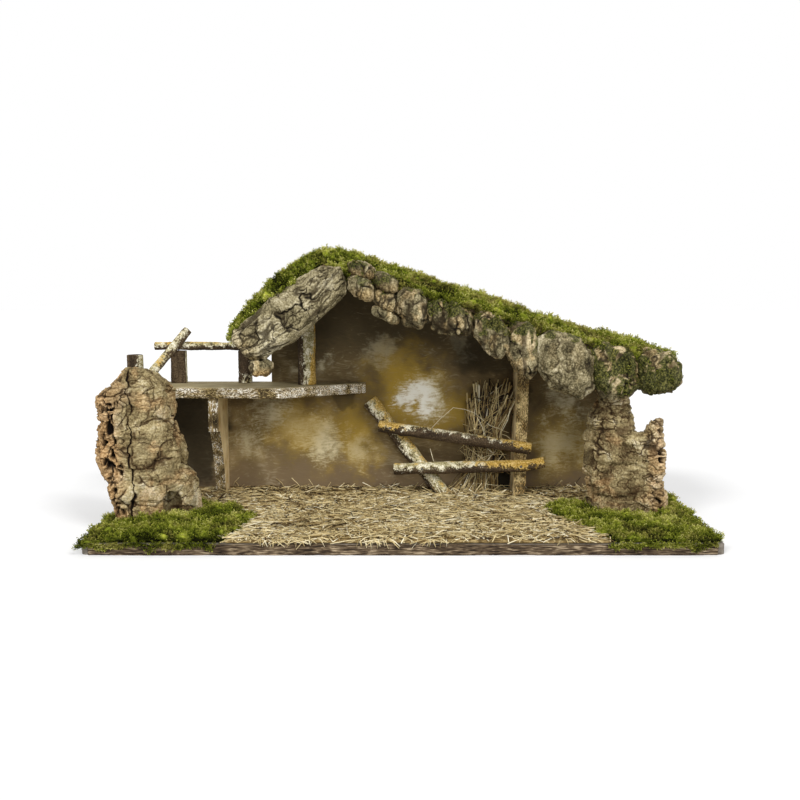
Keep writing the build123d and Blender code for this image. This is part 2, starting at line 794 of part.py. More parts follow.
left_pier = Pier(
    (pier_left_x, pier_left_y), (pier_left_width, pier_left_depth, pier_left_height),
    pier_left_levels_shares, pier_left_middle_share, pier_left_skew_share, pier_left_core_diameter,
)
_, top_left_share, top_right_share = pier_right_levels_shares[-1]
pier_right_reaches = (-top_left_share * pier_right_width, 0, top_right_share * pier_right_width)
pier_right_top = min(fascia_under(pier_right_x + reach) for reach in pier_right_reaches) - pier_right_top_gap
right_pier = Pier(
    (pier_right_x, pier_right_y), (pier_right_width, pier_right_depth, pier_right_top - base_top),
    pier_right_levels_shares, pier_right_middle_share, pier_right_skew_share, pier_right_core_diameter,
)

# Left pier, with a small arched hollow at its foot
with BuildPart() as arch:
    with BuildSketch(upright(left_pier.middle(arch_right))):
        with Locations((pier_left_x + arch_right, base_top)):
            Rectangle(arch_width, 2 * arch_height - arch_width)
        with Locations((pier_left_x + arch_right, base_top + arch_height - arch_width / 2)):
            Circle(arch_width / 2)
    extrude(amount=pier_left_depth)
with BuildPart() as pier_left_bark:
    add(left_pier.bark())
    add([left_pier.channel(), arch.part], mode=Mode.SUBTRACT)
save(pier_left_bark, "pier_left_bark")
with BuildPart(Plane.XY.offset(base_top)) as pier_left_core:
    with Locations((pier_left_x, pier_left_y)):
        Cylinder(pier_left_core_diameter / 2, pier_left_core_height, align=on_foot)
save(pier_left_core, "pier_left_core")

# Right pier, with a horn of bark beside its neck
horn_sections = []
for rise, left, right, depth_share in horn_levels_shares:
    left_x = pier_right_x + pier_right_width * left
    right_x = pier_right_x + pier_right_width * right
    middle = right_pier.middle(pier_right_width * (left + right) / 2)
    half_depth = horn_depth * depth_share / 2
    front, rear = middle - half_depth, middle + half_depth
    corners = [(left_x, front), (right_x, front), (right_x, rear), (left_x, rear)]
    horn_sections.append((Plane.XY.offset(base_top + right_pier.height * rise), bevelled(corners)))
with BuildPart() as pier_right_bark:
    add(right_pier.bark())
    add(faceted(horn_sections).part)
    add(right_pier.channel(), mode=Mode.SUBTRACT)
save(pier_right_bark, "pier_right_bark")
right_pitch_up = Vector(sin(radians(right_pitch)), 0, cos(radians(right_pitch)))
pier_right_seat = Vector(pier_right_x, pier_right_y, roof_under(pier_right_x) - glue_gap)
with BuildPart(Plane.XY.offset(base_top)) as pier_right_core:
    with Locations((pier_right_x, pier_right_y)):
        Cylinder(pier_right_core_diameter / 2, ridge_height, align=on_foot)
    split(bisect_by=Plane(pier_right_seat, z_dir=right_pitch_up), keep=Keep.BOTTOM)
save(pier_right_core, "pier_right_core")


# Bark along the front of the roof
def bark_piece(outlines, thickness):
    """Chunk of bark glued to the front edge of a panel, through its back, belly and front outlines."""
    back, belly, front = outlines
    sections = [
        (upright(roof_front), back),
        (upright(roof_front - thickness * bark_belly_share), belly),
        (upright(roof_front - thickness), front),
    ]
    return faceted(sections)


def on_left_pitch(points):
    """Points along and above the left pitch, as X and Z."""
    steep = radians(left_pitch)
    return [
        (ridge_x - along * cos(steep) - up * sin(steep), ridge_height - along * sin(steep) + up * cos(steep))
        for along, up in points
    ]


slab_outline = [(along * slab_length, up * slab_depth) for along, up in slab_outline_shares]
slab_front = scaled(slab_outline, slab_front_along_share, bark_front_share)
slab_outlines = [on_left_pitch(points) for points in (slab_outline, slab_outline, slab_front)]
save(bark_piece(slab_outlines, slab_thickness), "roof_bark_slab")


def bark_stone(corners, thickness):
    """Chunk of bark with four sides and its corners cut off."""
    outline = bevelled(corners)
    return bark_piece((outline, outline, scaled(outline, bark_front_share, bark_front_share)), thickness)


# Knob of bark under the tip of the slab
tip_edge = on_left_pitch(slab_outline[slab_tip_point : slab_tip_point + 2])
knob_left = sum(x for x, z in tip_edge) / 2 - knob_width / 2 + knob_shift
knob_top = min(z for x, z in tip_edge) - bark_gap
knob_corners = [
    (knob_left, knob_top),
    (knob_left + knob_width, knob_top),
    (knob_left + knob_width, knob_top - knob_height),
    (knob_left, knob_top - knob_height),
]
save(bark_stone(knob_corners, knob_thickness), "roof_bark_knob")

# Bark pieces along the right end of the roof
for name, start, end, joints, thickness_share in bark_columns_shares:
    left_x = ridge_x + right_run * start + bark_gap / 2
    right_x = ridge_x + right_run * end - bark_gap / 2
    for course, (above, below) in enumerate(zip(joints, joints[1:]), start=1):
        corners = [
            (left_x, roof_top(left_x) - bark_drop * above[0] - bark_gap / 2),
            (right_x, roof_top(right_x) - bark_drop * above[1] - bark_gap / 2),
            (right_x, roof_top(right_x) - bark_drop * below[1] + bark_gap / 2),
            (left_x, roof_top(left_x) - bark_drop * below[0] + bark_gap / 2),
        ]
        course_name = f"_{course}" if len(joints) > 2 else ""
        save(bark_stone(corners, bark_thickness * thickness_share), f"roof_bark_{name}{course_name}")


# Moss on the roof, thinner at its front and back rims
def roof_moss(side, run, height, run_shares, rise_shares):
    """Moss on one panel, cut at the ridge."""
    sections = []
    for depth_share, rim_share in zip(moss_depth_shares, moss_rise_shares):
        y = roof_front + moss_gap + (roof_rear - roof_front - 2 * moss_gap) * depth_share
        upper_face = []
        for run_share, rise_share in zip(run_shares, rise_shares):
            x = ridge_x + side * (moss_gap + (run - moss_gap) * run_share)
            upper_face.append((x, roof_top(x) + height * rise_share * rim_share))
        first_x = upper_face[0][0]
        last_x = upper_face[-1][0]
        lower_face = [(last_x, roof_top(last_x) + glue_gap), (first_x, roof_top(first_x) + glue_gap)]
        sections.append((upright(y), upper_face + lower_face))
    return faceted(sections)


moss_left = roof_moss(-1, left_run, moss_left_height, moss_left_run_shares, moss_left_rise_shares)
save(moss_left, "roof_moss_left")
moss_right = roof_moss(1, right_run, moss_right_height, moss_right_run_shares, moss_right_rise_shares)
save(moss_right, "roof_moss_right")


# Moss on the ground round the foot of each pier
def moss_outline(corner_x, side, width, depth, outline_shares):
    """Outline of a moss patch, from an outer front corner of the base."""
    front = board_front + ground_moss_edge_inset
    return [(corner_x + side * width * u, front + depth * v) for u, v in outline_shares]


def moss_patch(outline, height, pier):
    """Low mound of moss with room for the pier that stands in it."""
    sections = []
    for rise, share in ground_moss_level_shares:
        sections.append((Plane.XY.offset(base_top + height * rise), scaled(outline, share, share)))
    with BuildPart() as patch:
        add(faceted(sections).part)
        add(pier, mode=Mode.SUBTRACT)
    return patch


left_moss_outline = moss_outline(
    base_left + ground_moss_edge_inset, 1, ground_moss_left_width, ground_moss_left_depth,
    ground_moss_left_outline_shares,
)
right_moss_outline = moss_outline(
    base_right - ground_moss_edge_inset, -1, ground_moss_right_width, ground_moss_right_depth,
    ground_moss_right_outline_shares,
)
left_pier_room = left_pier.room()
right_pier_room = right_pier.room()
save(moss_patch(left_moss_outline, ground_moss_left_height, left_pier_room), "ground_moss_left")
save(moss_patch(right_moss_outline, ground_moss_right_height, right_pier_room), "ground_moss_right")

# Straw on the floor, round everything that stands on it
mat_front = board_front + straw_mat_edge_inset
mat_rear = wall_front - moss_gap
straw_mat_left = base_left + straw_mat_left_inset
straw_mat_right = base_right - straw_mat_right_inset
mat_middle = ((straw_mat_left + straw_mat_right) / 2, (mat_front + mat_rear) / 2)
sheaf_foot_depth = sheaf_foot_radius * sheaf_flat_share
feet_on_wall = (
    (bracket_x, bracket_thickness, bracket_foot_depth + bracket_bow),
    (stall_post_x + stall_post_lean / 2, stall_post_width + stall_post_lean, stall_post_depth),
)
with BuildPart() as floor_straw:
    with BuildSketch(Plane.XY.offset(base_top)):
        with Locations(mat_middle):
            Rectangle(straw_mat_right - straw_mat_left, mat_rear - mat_front)
        for outline, width in (
            (left_moss_outline, ground_moss_left_width),
            (right_moss_outline, ground_moss_right_width),
        ):
            wider_share = 1 + 4 * moss_gap / width
            with BuildLine():
                Polyline(*scaled(outline, wider_share, wider_share), close=True)
            make_face(mode=Mode.SUBTRACT)
        for x, width, depth in feet_on_wall:
            with Locations((x, wall_front - depth / 2)):
                Rectangle(width + 2 * moss_gap, depth + 2 * moss_gap, mode=Mode.SUBTRACT)
        with Locations((sheaf_x, sheaf_y)):
            Ellipse(sheaf_foot_radius + moss_gap, sheaf_foot_depth + moss_gap, mode=Mode.SUBTRACT)
    extrude(amount=straw_mat_thickness)
    add([left_pier_room, right_pier_room, log_solid(moss_gap).part], mode=Mode.SUBTRACT)
save(floor_straw, "floor_straw")
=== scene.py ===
from math import pi, radians

import bpy
import numpy as np
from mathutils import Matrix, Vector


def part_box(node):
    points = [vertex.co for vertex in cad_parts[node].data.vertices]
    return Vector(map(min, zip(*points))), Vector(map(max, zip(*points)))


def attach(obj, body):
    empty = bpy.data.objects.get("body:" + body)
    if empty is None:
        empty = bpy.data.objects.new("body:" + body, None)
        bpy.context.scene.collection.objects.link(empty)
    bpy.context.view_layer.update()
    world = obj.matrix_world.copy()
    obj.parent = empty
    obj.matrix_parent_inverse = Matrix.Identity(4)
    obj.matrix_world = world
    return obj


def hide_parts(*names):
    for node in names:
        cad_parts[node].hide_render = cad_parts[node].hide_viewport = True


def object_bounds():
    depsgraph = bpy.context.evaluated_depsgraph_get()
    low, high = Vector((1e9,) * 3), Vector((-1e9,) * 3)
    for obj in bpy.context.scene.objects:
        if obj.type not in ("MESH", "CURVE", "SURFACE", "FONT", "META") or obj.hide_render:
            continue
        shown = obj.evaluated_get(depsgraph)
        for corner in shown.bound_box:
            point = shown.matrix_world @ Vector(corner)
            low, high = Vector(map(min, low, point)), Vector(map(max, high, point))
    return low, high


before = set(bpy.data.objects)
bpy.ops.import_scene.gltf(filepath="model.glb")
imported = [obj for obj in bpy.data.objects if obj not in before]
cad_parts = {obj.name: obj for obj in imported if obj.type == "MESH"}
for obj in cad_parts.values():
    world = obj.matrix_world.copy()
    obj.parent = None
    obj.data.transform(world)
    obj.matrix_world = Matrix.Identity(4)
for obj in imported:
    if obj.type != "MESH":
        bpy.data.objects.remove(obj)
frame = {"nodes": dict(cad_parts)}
solid_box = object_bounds()
nodes = frame["nodes"]
mm = 0.001
chance = np.random.default_rng(5)


# Noise, soft steps and rows of points


def hashed(cell, seed):
    """A chance number from 0 to 1 for each whole-numbered cell."""
    x, y, z = np.moveaxis(cell, -1, 0)
    mixed = x * 73856093 ^ y * 19349663 ^ z * 83492791 ^ (seed * 6542989 + 7919)
    mixed = (mixed ^ mixed >> 13) * 1274126177 & 0xFFFFFFFF
    mixed = (mixed ^ mixed >> 15) * 2246822519 & 0xFFFFFFFF
    return (mixed >> 8 & 0xFFFF) / 0xFFFF


def waves(points, seed):
    """Smooth noise from -1 to 1, with swells one unit wide."""
    cell = np.floor(points).astype(np.int64)
    part = points - cell
    part = part * part * (3 - 2 * part)
    total = np.zeros(len(points))
    for corner in np.ndindex(2, 2, 2):
        weight = np.prod(np.where(corner, part, 1 - part), axis=1)
        total += weight * hashed(cell + corner, seed)
    return 2 * total - 1


def rough(points, seed, octaves=4):
    """Noise from about -1 to 1 with finer swells on the large ones."""
    return sum(waves(points * 2**step, seed + step) / 2**step for step in range(octaves)) / 1.6


def bent(points, reach, width, seed):
    """Points pushed about by smooth noise, so that what is laid on them wanders."""
    return points + reach * np.stack([waves(points / width, seed + axis) for axis in range(3)], axis=1)


def plates(points, seed):
    """Blocky cells one unit wide: how far a point is from its cell's edge, and its cell's chance number."""
    home = np.floor(points).astype(np.int64)
    nearest = np.full(len(points), 9.0)
    second = np.full(len(points), 9.0)
    tone = np.zeros(len(points))
    for step in np.ndindex(3, 3, 3):
        cell = home + step - 1
        middle = cell + np.stack([hashed(cell, seed + axis) for axis in range(3)], axis=1)
        apart = np.abs(points - middle)
        distance = 0.6 * apart.max(axis=1) + 0.4 * np.linalg.norm(apart, axis=1)
        closer = distance < nearest
        second = np.where(closer, nearest, np.minimum(second, distance))
        tone = np.where(closer, hashed(cell, seed + 3), tone)
        nearest = np.where(closer, distance, nearest)
    return second - nearest, tone


def veins(points, width, seed):
    """Thin lines that wander and meet, from 0 beside them to 1 along them."""
    return fade(np.abs(waves(points, seed)), 0.0, width)


def patches(points, seed, low, high):
    """Patches about one unit wide, from 0 outside them to 1 inside."""
    return ease(waves(points, seed), low, high)


def points_at(x, y, z):
    """Points with these places across, back and up."""
    return np.stack([x, y, z], axis=1)


def in_a_row(x):
    """Points in a row, for noise that changes one way only."""
    return points_at(x, 0 * x, 0 * x)


def ease(value, low, high):
    """0 below the low value, 1 above the high one, and a soft step between."""
    part = np.clip((value - low) / (high - low), 0, 1)
    return part * part * (3 - 2 * part)


def fade(value, low, high):
    """1 below the low value, 0 above the high one, and a soft step between."""
    return 1 - ease(value, low, high)


# Skins, stems and sprigs


class Skin:
    """Dense skin of a solid in millimetres, with notes for its finish kept at each point."""

    def __init__(self, node, grid, soften=0):
        stand_in = bpy.data.objects.new(node + "_dense", nodes[node].data)
        bpy.context.scene.collection.objects.link(stand_in)
        dense = stand_in.modifiers.new("dense", "REMESH")
        dense.mode = "VOXEL"
        dense.voxel_size = grid * mm
        if soften:
            stand_in.modifiers.new("soft", "SMOOTH").iterations = soften
        mesh = stand_in.evaluated_get(bpy.context.evaluated_depsgraph_get()).to_mesh()
        self.points = np.empty(len(mesh.vertices) * 3)
        mesh.vertices.foreach_get("co", self.points)
        self.points = self.points.reshape(-1, 3) / mm
        self.faces = np.empty(len(mesh.loops), np.int32)
        mesh.loops.foreach_get("vertex_index", self.faces)
        self.faces = self.faces.reshape(-1, 4)
        bpy.data.objects.remove(stand_in)
        self.notes = {}

    def face_normals(self):
        """Outward normal of each face, as long as its area."""
        corners = self.points[self.faces]
        return np.cross(corners[:, 2] - corners[:, 0], corners[:, 3] - corners[:, 1]) / 2

    def normals(self):
        """Outward normal at each point."""
        total = np.zeros_like(self.points)
        across = self.face_normals()
        for corner in range(4):
            np.add.at(total, self.faces[:, corner], across)
        return total / np.maximum(np.linalg.norm(total, axis=1, keepdims=True), 1e-9)

    def push(self, relief):
        """Moves each point out by its own relief."""
        self.points = self.points + self.normals() * relief[:, None]

    def areas(self, wanted):
        """Area of each face, times how much it is wanted at its points."""
        return np.linalg.norm(self.face_normals(), axis=1) * wanted[self.faces].mean(axis=1)

    def spots(self, count, wanted):
        """Places scattered over the skin, as often as wanted says at each point, with normals and faces."""
        weight = self.areas(wanted)
        chosen = chance.choice(len(weight), count, p=weight / weight.sum())
        corners = self.points[self.faces[chosen]]
        u, v = chance.random((2, count, 1))
        near = corners[:, 0] * (1 - u) + corners[:, 1] * u
        far = corners[:, 3] * (1 - u) + corners[:, 2] * u
        normals = self.normals()[self.faces[chosen]].mean(axis=1)
        return near * (1 - v) + far * v, unit(normals), self.faces[chosen]


def unit(vectors):
    return vectors / np.maximum(np.linalg.norm(vectors, axis=-1, keepdims=True), 1e-9)


def sideways(directions):
    """Two directions square to each of these and to each other."""
    helper = np.where(np.abs(directions[..., 2:]) > 0.8, (1.0, 0.0, 0.0), (0.0, 0.0, 1.0))
    first = unit(np.cross(directions, helper))
    return first, np.cross(directions, first)


class Batch:
    """Points and faces gathered into one piece, with notes for its finish at each point."""

    def __init__(self):
        self.points = []
        self.faces = []
        self.notes = {}
        self.count = 0

    def gather(self, points, faces, **notes):
        """Adds points in millimetres, faces that count from the first of them, and a value of each note."""
        self.points.append(points)
        self.faces += (np.asarray(faces) + self.count).tolist()
        for name, values in notes.items():
            filled = np.broadcast_to(np.asarray(values, float), len(points))
            self.notes.setdefault(name, []).append(filled)
        self.count += len(points)

    def skin(self, skin):
        """Adds a dense skin with its notes."""
        self.gather(skin.points, skin.faces, **skin.notes)

    def stems(self, lines, thickness, tone, sides=3):
        """Adds straws along lines of points, as thick and as toned as each straw is."""
        count, rings = lines.shape[:2]
        ahead = unit(np.gradient(lines, axis=1))
        first, second = sideways(ahead)
        turns = np.arange(sides) * 2 * pi / sides
        around = first[:, :, None] * np.cos(turns)[:, None] + second[:, :, None] * np.sin(turns)[:, None]
        points = lines[:, :, None] + around * (np.asarray(thickness) / 2)[:, None, None, None]
        number = np.arange(count * rings * sides).reshape(count, rings, sides)
        after = np.roll(number, -1, axis=2)
        walls = np.stack([number[:, :-1], after[:, :-1], after[:, 1:], number[:, 1:]], axis=-1)
        toned = np.repeat(tone, rings * sides)
        start = self.count
        self.gather(points.reshape(-1, 3), walls.reshape(-1, 4), tone=toned)
        self.faces += (number[:, 0, ::-1] + start).tolist() + (number[:, -1] + start).tolist()

    def sprigs(self, roots, normals, length, tone, dry):
        """Adds small feathery sprigs of moss that grow from these roots."""
        count = len(roots)
        pairs = 4
        lean = unit(normals + 0.9 * chance.normal(size=(count, 3)) * (0.5, 0.5, 0.25) + (0, 0, 0.35))
        curl = unit(np.cross(lean, chance.normal(size=(count, 3))))
        share = np.linspace(0, 1, pairs + 1)
        size = (length * chance.uniform(0.6, 1.3, count))[:, None, None]
        up = share[:, None]
        stalk = roots[:, None] + size * (lean[:, None] * up + 0.45 * curl[:, None] * up**2)
        first, second = sideways(lean)
        turn = chance.uniform(0, 2 * pi, (count, 1)) + np.arange(2 * pairs) * 2.4
        out = first[:, None] * np.cos(turn)[..., None] + second[:, None] * np.sin(turn)[..., None]
        joints = np.repeat((stalk[:, :-1] + stalk[:, 1:]) / 2, 2, axis=1)
        shorter = np.repeat(1.15 - 0.6 * share[1:], 2)[:, None]
        leaves = joints + size * shorter * (0.34 * out + 0.2 * lean[:, None])
        points = np.concatenate([stalk, leaves], axis=1)
        each = points.shape[1]
        leaf = np.arange(2 * pairs)
        faces = np.stack([leaf // 2, leaf // 2 + 1, pairs + 1 + leaf], axis=1)
        faces = (faces[None] + each * np.arange(count)[:, None, None]).reshape(-1, 3)
        tip = np.concatenate([share, np.repeat(share[1:], 2)])
        toned = np.repeat(tone, each)
        self.gather(points.reshape(-1, 3), faces, tone=toned, tip=np.tile(tip, count), dry=dry)

    def piece(self, name, finish, slot, *stands_for):
        """Makes the gathered faces into a piece that stands for these solids."""
        mesh = bpy.data.meshes.new(name)
        mesh.from_pydata((np.concatenate(self.points) * mm).tolist(), [], self.faces)
        for note, values in self.notes.items():
            values = np.concatenate(values).astype(np.float32)
            mesh.attributes.new(note, "FLOAT", "POINT").data.foreach_set("value", values)
        mesh.polygons.foreach_set("use_smooth", np.full(len(mesh.polygons), True))
        mesh.materials.append(finish)
        piece = bpy.data.objects.new(name, mesh)
        bpy.context.scene.collection.objects.link(piece)
        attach(piece, "root")
        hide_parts(*stands_for)


def skin_piece(skin, name, finish, slot, node):
    """Makes a skin into a piece that stands for its solid."""
    batch = Batch()
    batch.skin(skin)
    batch.piece(name, finish, slot, node)


# Finishes


def colour(red, green, blue):
    """Colour of a paint chart, from 0 to 255, as the shaders take it."""
    return tuple(((part / 255 + 0.055) / 1.055) ** 2.4 for part in (red, green, blue)) + (1.0,)


class Wire:
    """An output of a node. Sums of wires and numbers add Math nodes."""

    def __init__(self, nodes, socket):
        self.nodes = nodes
        self.socket = socket

    def sum(self, operation, first, second):
        return self.nodes.add("ShaderNodeMath", {"operation": operation}, {0: first, 1: second})

    def __add__(self, other):
        return self.sum("ADD", self, other)

    def __sub__(self, other):
        return self.sum("SUBTRACT", self, other)

    def __rsub__(self, other):
        return self.sum("SUBTRACT", other, self)

    def __mul__(self, other):
        return self.sum("MULTIPLY", self, other)

    def __pow__(self, other):
        return self.sum("POWER", self, other)

    __radd__ = __add__
    __rmul__ = __mul__


class Nodes:
    """A tree of nodes, of a material or of the world, that more are added to."""

    def __init__(self, owner):
        owner.use_nodes = True
        self.tree = owner.node_tree

    def add(self, kind, settings=None, inputs=None, output=0):
        """Adds a node: its settings first, then the values or wires of its sockets."""
        node = self.tree.nodes.new(kind)
        for name, value in (settings or {}).items():
            if name == "stops":
                while len(node.color_ramp.elements) < len(value):
                    node.color_ramp.elements.new(1.0)
                for stop, (position, shade) in zip(node.color_ramp.elements, value):
                    stop.position = position
                    stop.color = shade
            else:
                setattr(node, name, value)
        for socket, value in (inputs or {}).items():
            self.feed(node.inputs[socket], value)
        return Wire(self, node.outputs[output])

    def feed(self, socket, value):
        if isinstance(value, Wire):
            self.tree.links.new(value.socket, socket)
        else:
            socket.default_value = value


class Finish(Nodes):
    """A material, its nodes, and the shade that has been laid on it so far."""

    def __init__(self, name, roughness=0.85, shine=0.12):
        self.material = bpy.data.materials.new(name)
        super().__init__(self.material)
        self.shader = self.tree.nodes["Principled BSDF"]
        self.shader.inputs["Roughness"].default_value = roughness
        self.shader.inputs["Specular IOR Level"].default_value = shine
        self.place = self.add("ShaderNodeTexCoord", output="Object")
        self.shade = None

    def note(self, name):
        """What a piece's mesh notes under this name."""
        return self.add("ShaderNodeAttribute", {"attribute_name": name}, output="Fac")

    def speckle(self, size, detail=4.0, stretch=(1, 1, 1), distortion=0.0, seed=0):
        """Noise with swells of this size in millimetres, drawn out along an axis by its stretch."""
        scale = tuple(1 / (size * mm * part) for part in stretch)
        moved = {"Vector": self.place, "Location": (seed, seed / 3, seed / 7), "Scale": scale}
        place = self.add("ShaderNodeMapping", {}, moved)
        settings = {"Vector": place, "Scale": 1.0, "Detail": detail, "Distortion": distortion}
        return self.add("ShaderNodeTexNoise", {}, settings)

    def swirls(self, size, detail):
        """Noise in three parts, to move other patterns about."""
        settings = {"Vector": self.place, "Scale": 1 / (size * mm), "Detail": detail}
        return self.add("ShaderNodeTexNoise", {}, settings, "Color")

    def vectors(self, operation, first, second):
        """Vector Math of two wires or vectors."""
        return self.add("ShaderNodeVectorMath", {"operation": operation}, {0: first, 1: second})

    def part(self, vector, axis):
        """One part of a vector."""
        return self.add("ShaderNodeSeparateXYZ", {}, {0: vector}, axis)

    def step(self, value, low, high):
        """A soft step of a value from 0 at the low end to 1 at the high end."""
        settings = {"Value": value, "From Min": low, "From Max": high}
        return self.add("ShaderNodeMapRange", {"interpolation_type": "SMOOTHSTEP"}, settings)

    def mix(self, share, first, second):
        """Blends two colours."""
        return self.add("ShaderNodeMix", {"data_type": "RGBA"}, {0: share, 6: first, 7: second}, 2)

    def ramp(self, value, *stops):
        """Colours along a value: where each stop lies, and its red, green and blue."""
        shades = [(position, colour(*shade)) for position, *shade in stops]
        return self.add("ShaderNodeValToRGB", {"stops": shades}, {0: value})

    def over(self, share, paint):
        """Lays a share of a colour over the shade so far."""
        self.shade = self.mix(share, self.shade, paint)

    def done(self, height=None, depth=0.4):
        """Feeds the shader the shade and a bump of this depth in millimetres, and returns the material."""
        self.feed(self.shader.inputs["Base Color"], self.shade)
        if height is not None:
            bump = self.add("ShaderNodeBump", {}, {"Height": height, "Distance": depth * mm, "Strength": 1.0})
            self.feed(self.shader.inputs["Normal"], bump)
        return self.material


def cork_finish():
    """Raw cork bark: beige plates, fissures dark partly in their own colour and partly as painted shade, and
    orange where it is eroded.
    """
    cork = Finish("cork_bark")
    fine = cork.speckle(2.0, 6.0)
    broad = cork.speckle(18, 3.0, seed=3)
    streaks = cork.speckle(2.6, 4.0, stretch=(5, 5, 0.7), distortion=0.4, seed=5)
    tone = cork.note("tone") * 0.5 + broad * 0.8 + fine * 0.8 - 0.55
    beige = cork.ramp(
        tone, (0.18, 74, 60, 38), (0.38, 138, 122, 85), (0.56, 180, 164, 122), (0.8, 226, 214, 182)
    )
    orange = cork.ramp(
        fine * 0.7 + broad * 0.4 - 0.05, (0.3, 84, 58, 36), (0.46, 164, 126, 82), (0.62, 220, 184, 134)
    )
    warm = cork.step(cork.speckle(32, 3.0, distortion=0.6, seed=21), 0.52, 0.64)
    cork.shade = cork.mix(cork.note("raw") * 0.85, beige, orange)
    cork.over(warm * 0.5, orange)
    cork.over(cork.step(streaks, 0.54, 0.68) * 0.6, colour(98, 79, 52))
    layers = cork.speckle(1.5, 4.0, stretch=(9, 9, 0.6), distortion=0.8, seed=27)
    cork.over(cork.step(layers, 0.58, 0.66) * 0.6, colour(66, 50, 32))
    pores = cork.speckle(1.7, 2.0, seed=25)
    cork.over(cork.step(pores, 0.64, 0.72) * 0.8, colour(54, 40, 25))
    stain = cork.step(cork.speckle(30, 4.0, distortion=0.5, seed=11), 0.52, 0.68)
    cork.over(stain * 0.4, colour(118, 107, 78))
    # Cracks darkened: partly the bark's own darker colour inside them, partly painted shade
    crack = cork.note("crack")
    cork.over(cork.step(crack, 0.05, 0.6) * 0.8, colour(76, 55, 33))
    cork.over(cork.step(crack, 0.45, 0.95), colour(22, 15, 9))
    return cork.done(fine + streaks * 0.7, 0.6)


def grey_bark_finish():
    """Weathered bark of the roof's edge, stained green where moss has grown on it."""
    bark = Finish("grey_bark")
    fine = bark.speckle(1.8, 6.0)
    broad = bark.speckle(22, 4.0, distortion=0.4, seed=2)
    tone = bark.note("tone") * 0.7 + broad * 0.6 + fine * 0.9 - 0.6
    grey = bark.ramp(
        tone, (0.16, 34, 29, 18), (0.38, 90, 82, 58), (0.58, 148, 137, 104), (0.86, 216, 206, 174)
    )
    ochre = bark.ramp(fine, (0.34, 96, 72, 40), (0.5, 166, 136, 86), (0.66, 222, 192, 136))
    bark.shade = bark.mix(bark.note("raw"), grey, ochre)
    # Cracks darkened: partly the bark's own darker colour inside them, partly painted shade
    crack = bark.note("crack")
    bark.over(bark.step(crack, 0.06, 0.6) * 0.85, colour(56, 46, 30))
    patchy = bark.step(bark.note("mossy") + (fine - 0.5) * 1.4 + (broad - 0.5) * 0.8, 0.3, 0.7)
    green = bark.ramp(fine, (0.36, 22, 24, 9), (0.5, 58, 62, 24), (0.66, 112, 108, 54))
    bark.over(patchy * 0.85, green)
    bark.over(bark.step(crack, 0.45, 0.95), colour(17, 14, 8))
    return bark.done(fine, 0.6)


def moss_finish():
    """Dried moss: dark at the root and bright at the tips of the sprigs."""
    moss = Finish("moss", 0.9, 0.03)
    patch = moss.speckle(26, 4.0, distortion=0.4)
    spot = moss.speckle(5, 3.0, seed=4)
    light = moss.note("tip") * 0.5 + moss.note("tone") * 0.6 + (patch - 0.5) * 1.3 + (spot - 0.5) * 0.7 - 0.02
    greens = (0.0, 24, 25, 8), (0.24, 64, 71, 20), (0.48, 116, 126, 37), (0.72, 168, 172, 66)
    moss.shade = moss.ramp(light, *greens, (1.0, 222, 216, 130))
    dry = moss.step(moss.speckle(30, 4.0, distortion=0.4, seed=9), 0.47, 0.62)
    brown = moss.ramp(light, (0.1, 46, 35, 19), (0.8, 166, 146, 88))
    moss.over(dry * moss.note("dry") * 0.8, brown)
    return moss.done()


def straw_finish():
    """Dry straw, each stem in its own tone."""
    straw = Finish("straw", 0.6, 0.25)
    fibre = straw.speckle(1.2, 3.0, stretch=(6, 6, 6))
    tone = straw.note("tone") + (fibre - 0.5) * 0.25
    browns = (0.0, 46, 34, 20), (0.12, 96, 76, 45), (0.24, 148, 124, 78)
    golds = (0.45, 196, 174, 122), (0.75, 226, 208, 158), (1.0, 248, 238, 206)
    straw.shade = straw.ramp(tone, *browns, *golds)
    return straw.done()


def straw_bed_finish():
    """Chaff under the loose straw."""
    bed = Finish("straw_bed")
    chaff = bed.speckle(2.4, 5.0, stretch=(2.2, 1, 1), distortion=0.8)
    broad = bed.speckle(40, 3.0, seed=6)
    bed.shade = bed.ramp(
        chaff * 0.7 + broad * 0.3, (0.3, 58, 45, 27), (0.48, 128, 106, 66), (0.68, 190, 168, 118)
    )
    return bed.done(chaff, 1.0)


# Sponged patches on the wall: middle across and up, reach, how golden and how pale. The palest are white
white_from = 0.88
wall_dabs = (
    (2, 140, 36, 0.8, 0.0),
    (6, 104, 26, 0.6, 0.0),
    (56, 106, 24, 0.65, 0.0),
    (24, 124, 30, 0.5, 0.8),
    (21, 120, 19, 0.0, 0.9),
    (18, 118, 13, 0.0, 1.0),
    (-98, 68, 30, 0.3, 0.85),
    (-122, 86, 30, 0.65, 0.2),
    (-54, 58, 24, 0.8, 0.55),
    (-64, 88, 26, 0.6, 0.0),
    (-182, 76, 26, 0.15, 0.45),
    (-150, 104, 26, 0.1, 0.55),
    (182, 66, 32, 0.6, 0.45),
    (190, 112, 26, 0.1, 0.7),
    (-24, 174, 20, 0.0, 0.3),
    (72, 181, 14, 0.0, 0.35),
    (-120, 152, 12, 0.0, 0.5),
    (-92, 160, 12, 0.0, 0.5),
)
# Painted shade: places where the wall is painted dark where shadow falls: middle across and up, half width,
# half height, and how dark
painted_wall_shades = (
    (-248, 70, 36, 66, 0.8),
    (112, 28, 18, 38, 1.0),
    (100, 172, 38, 26, 0.6),
    (143, 140, 12, 40, 0.5),
    (-60, 120, 16, 14, 0.5),
)


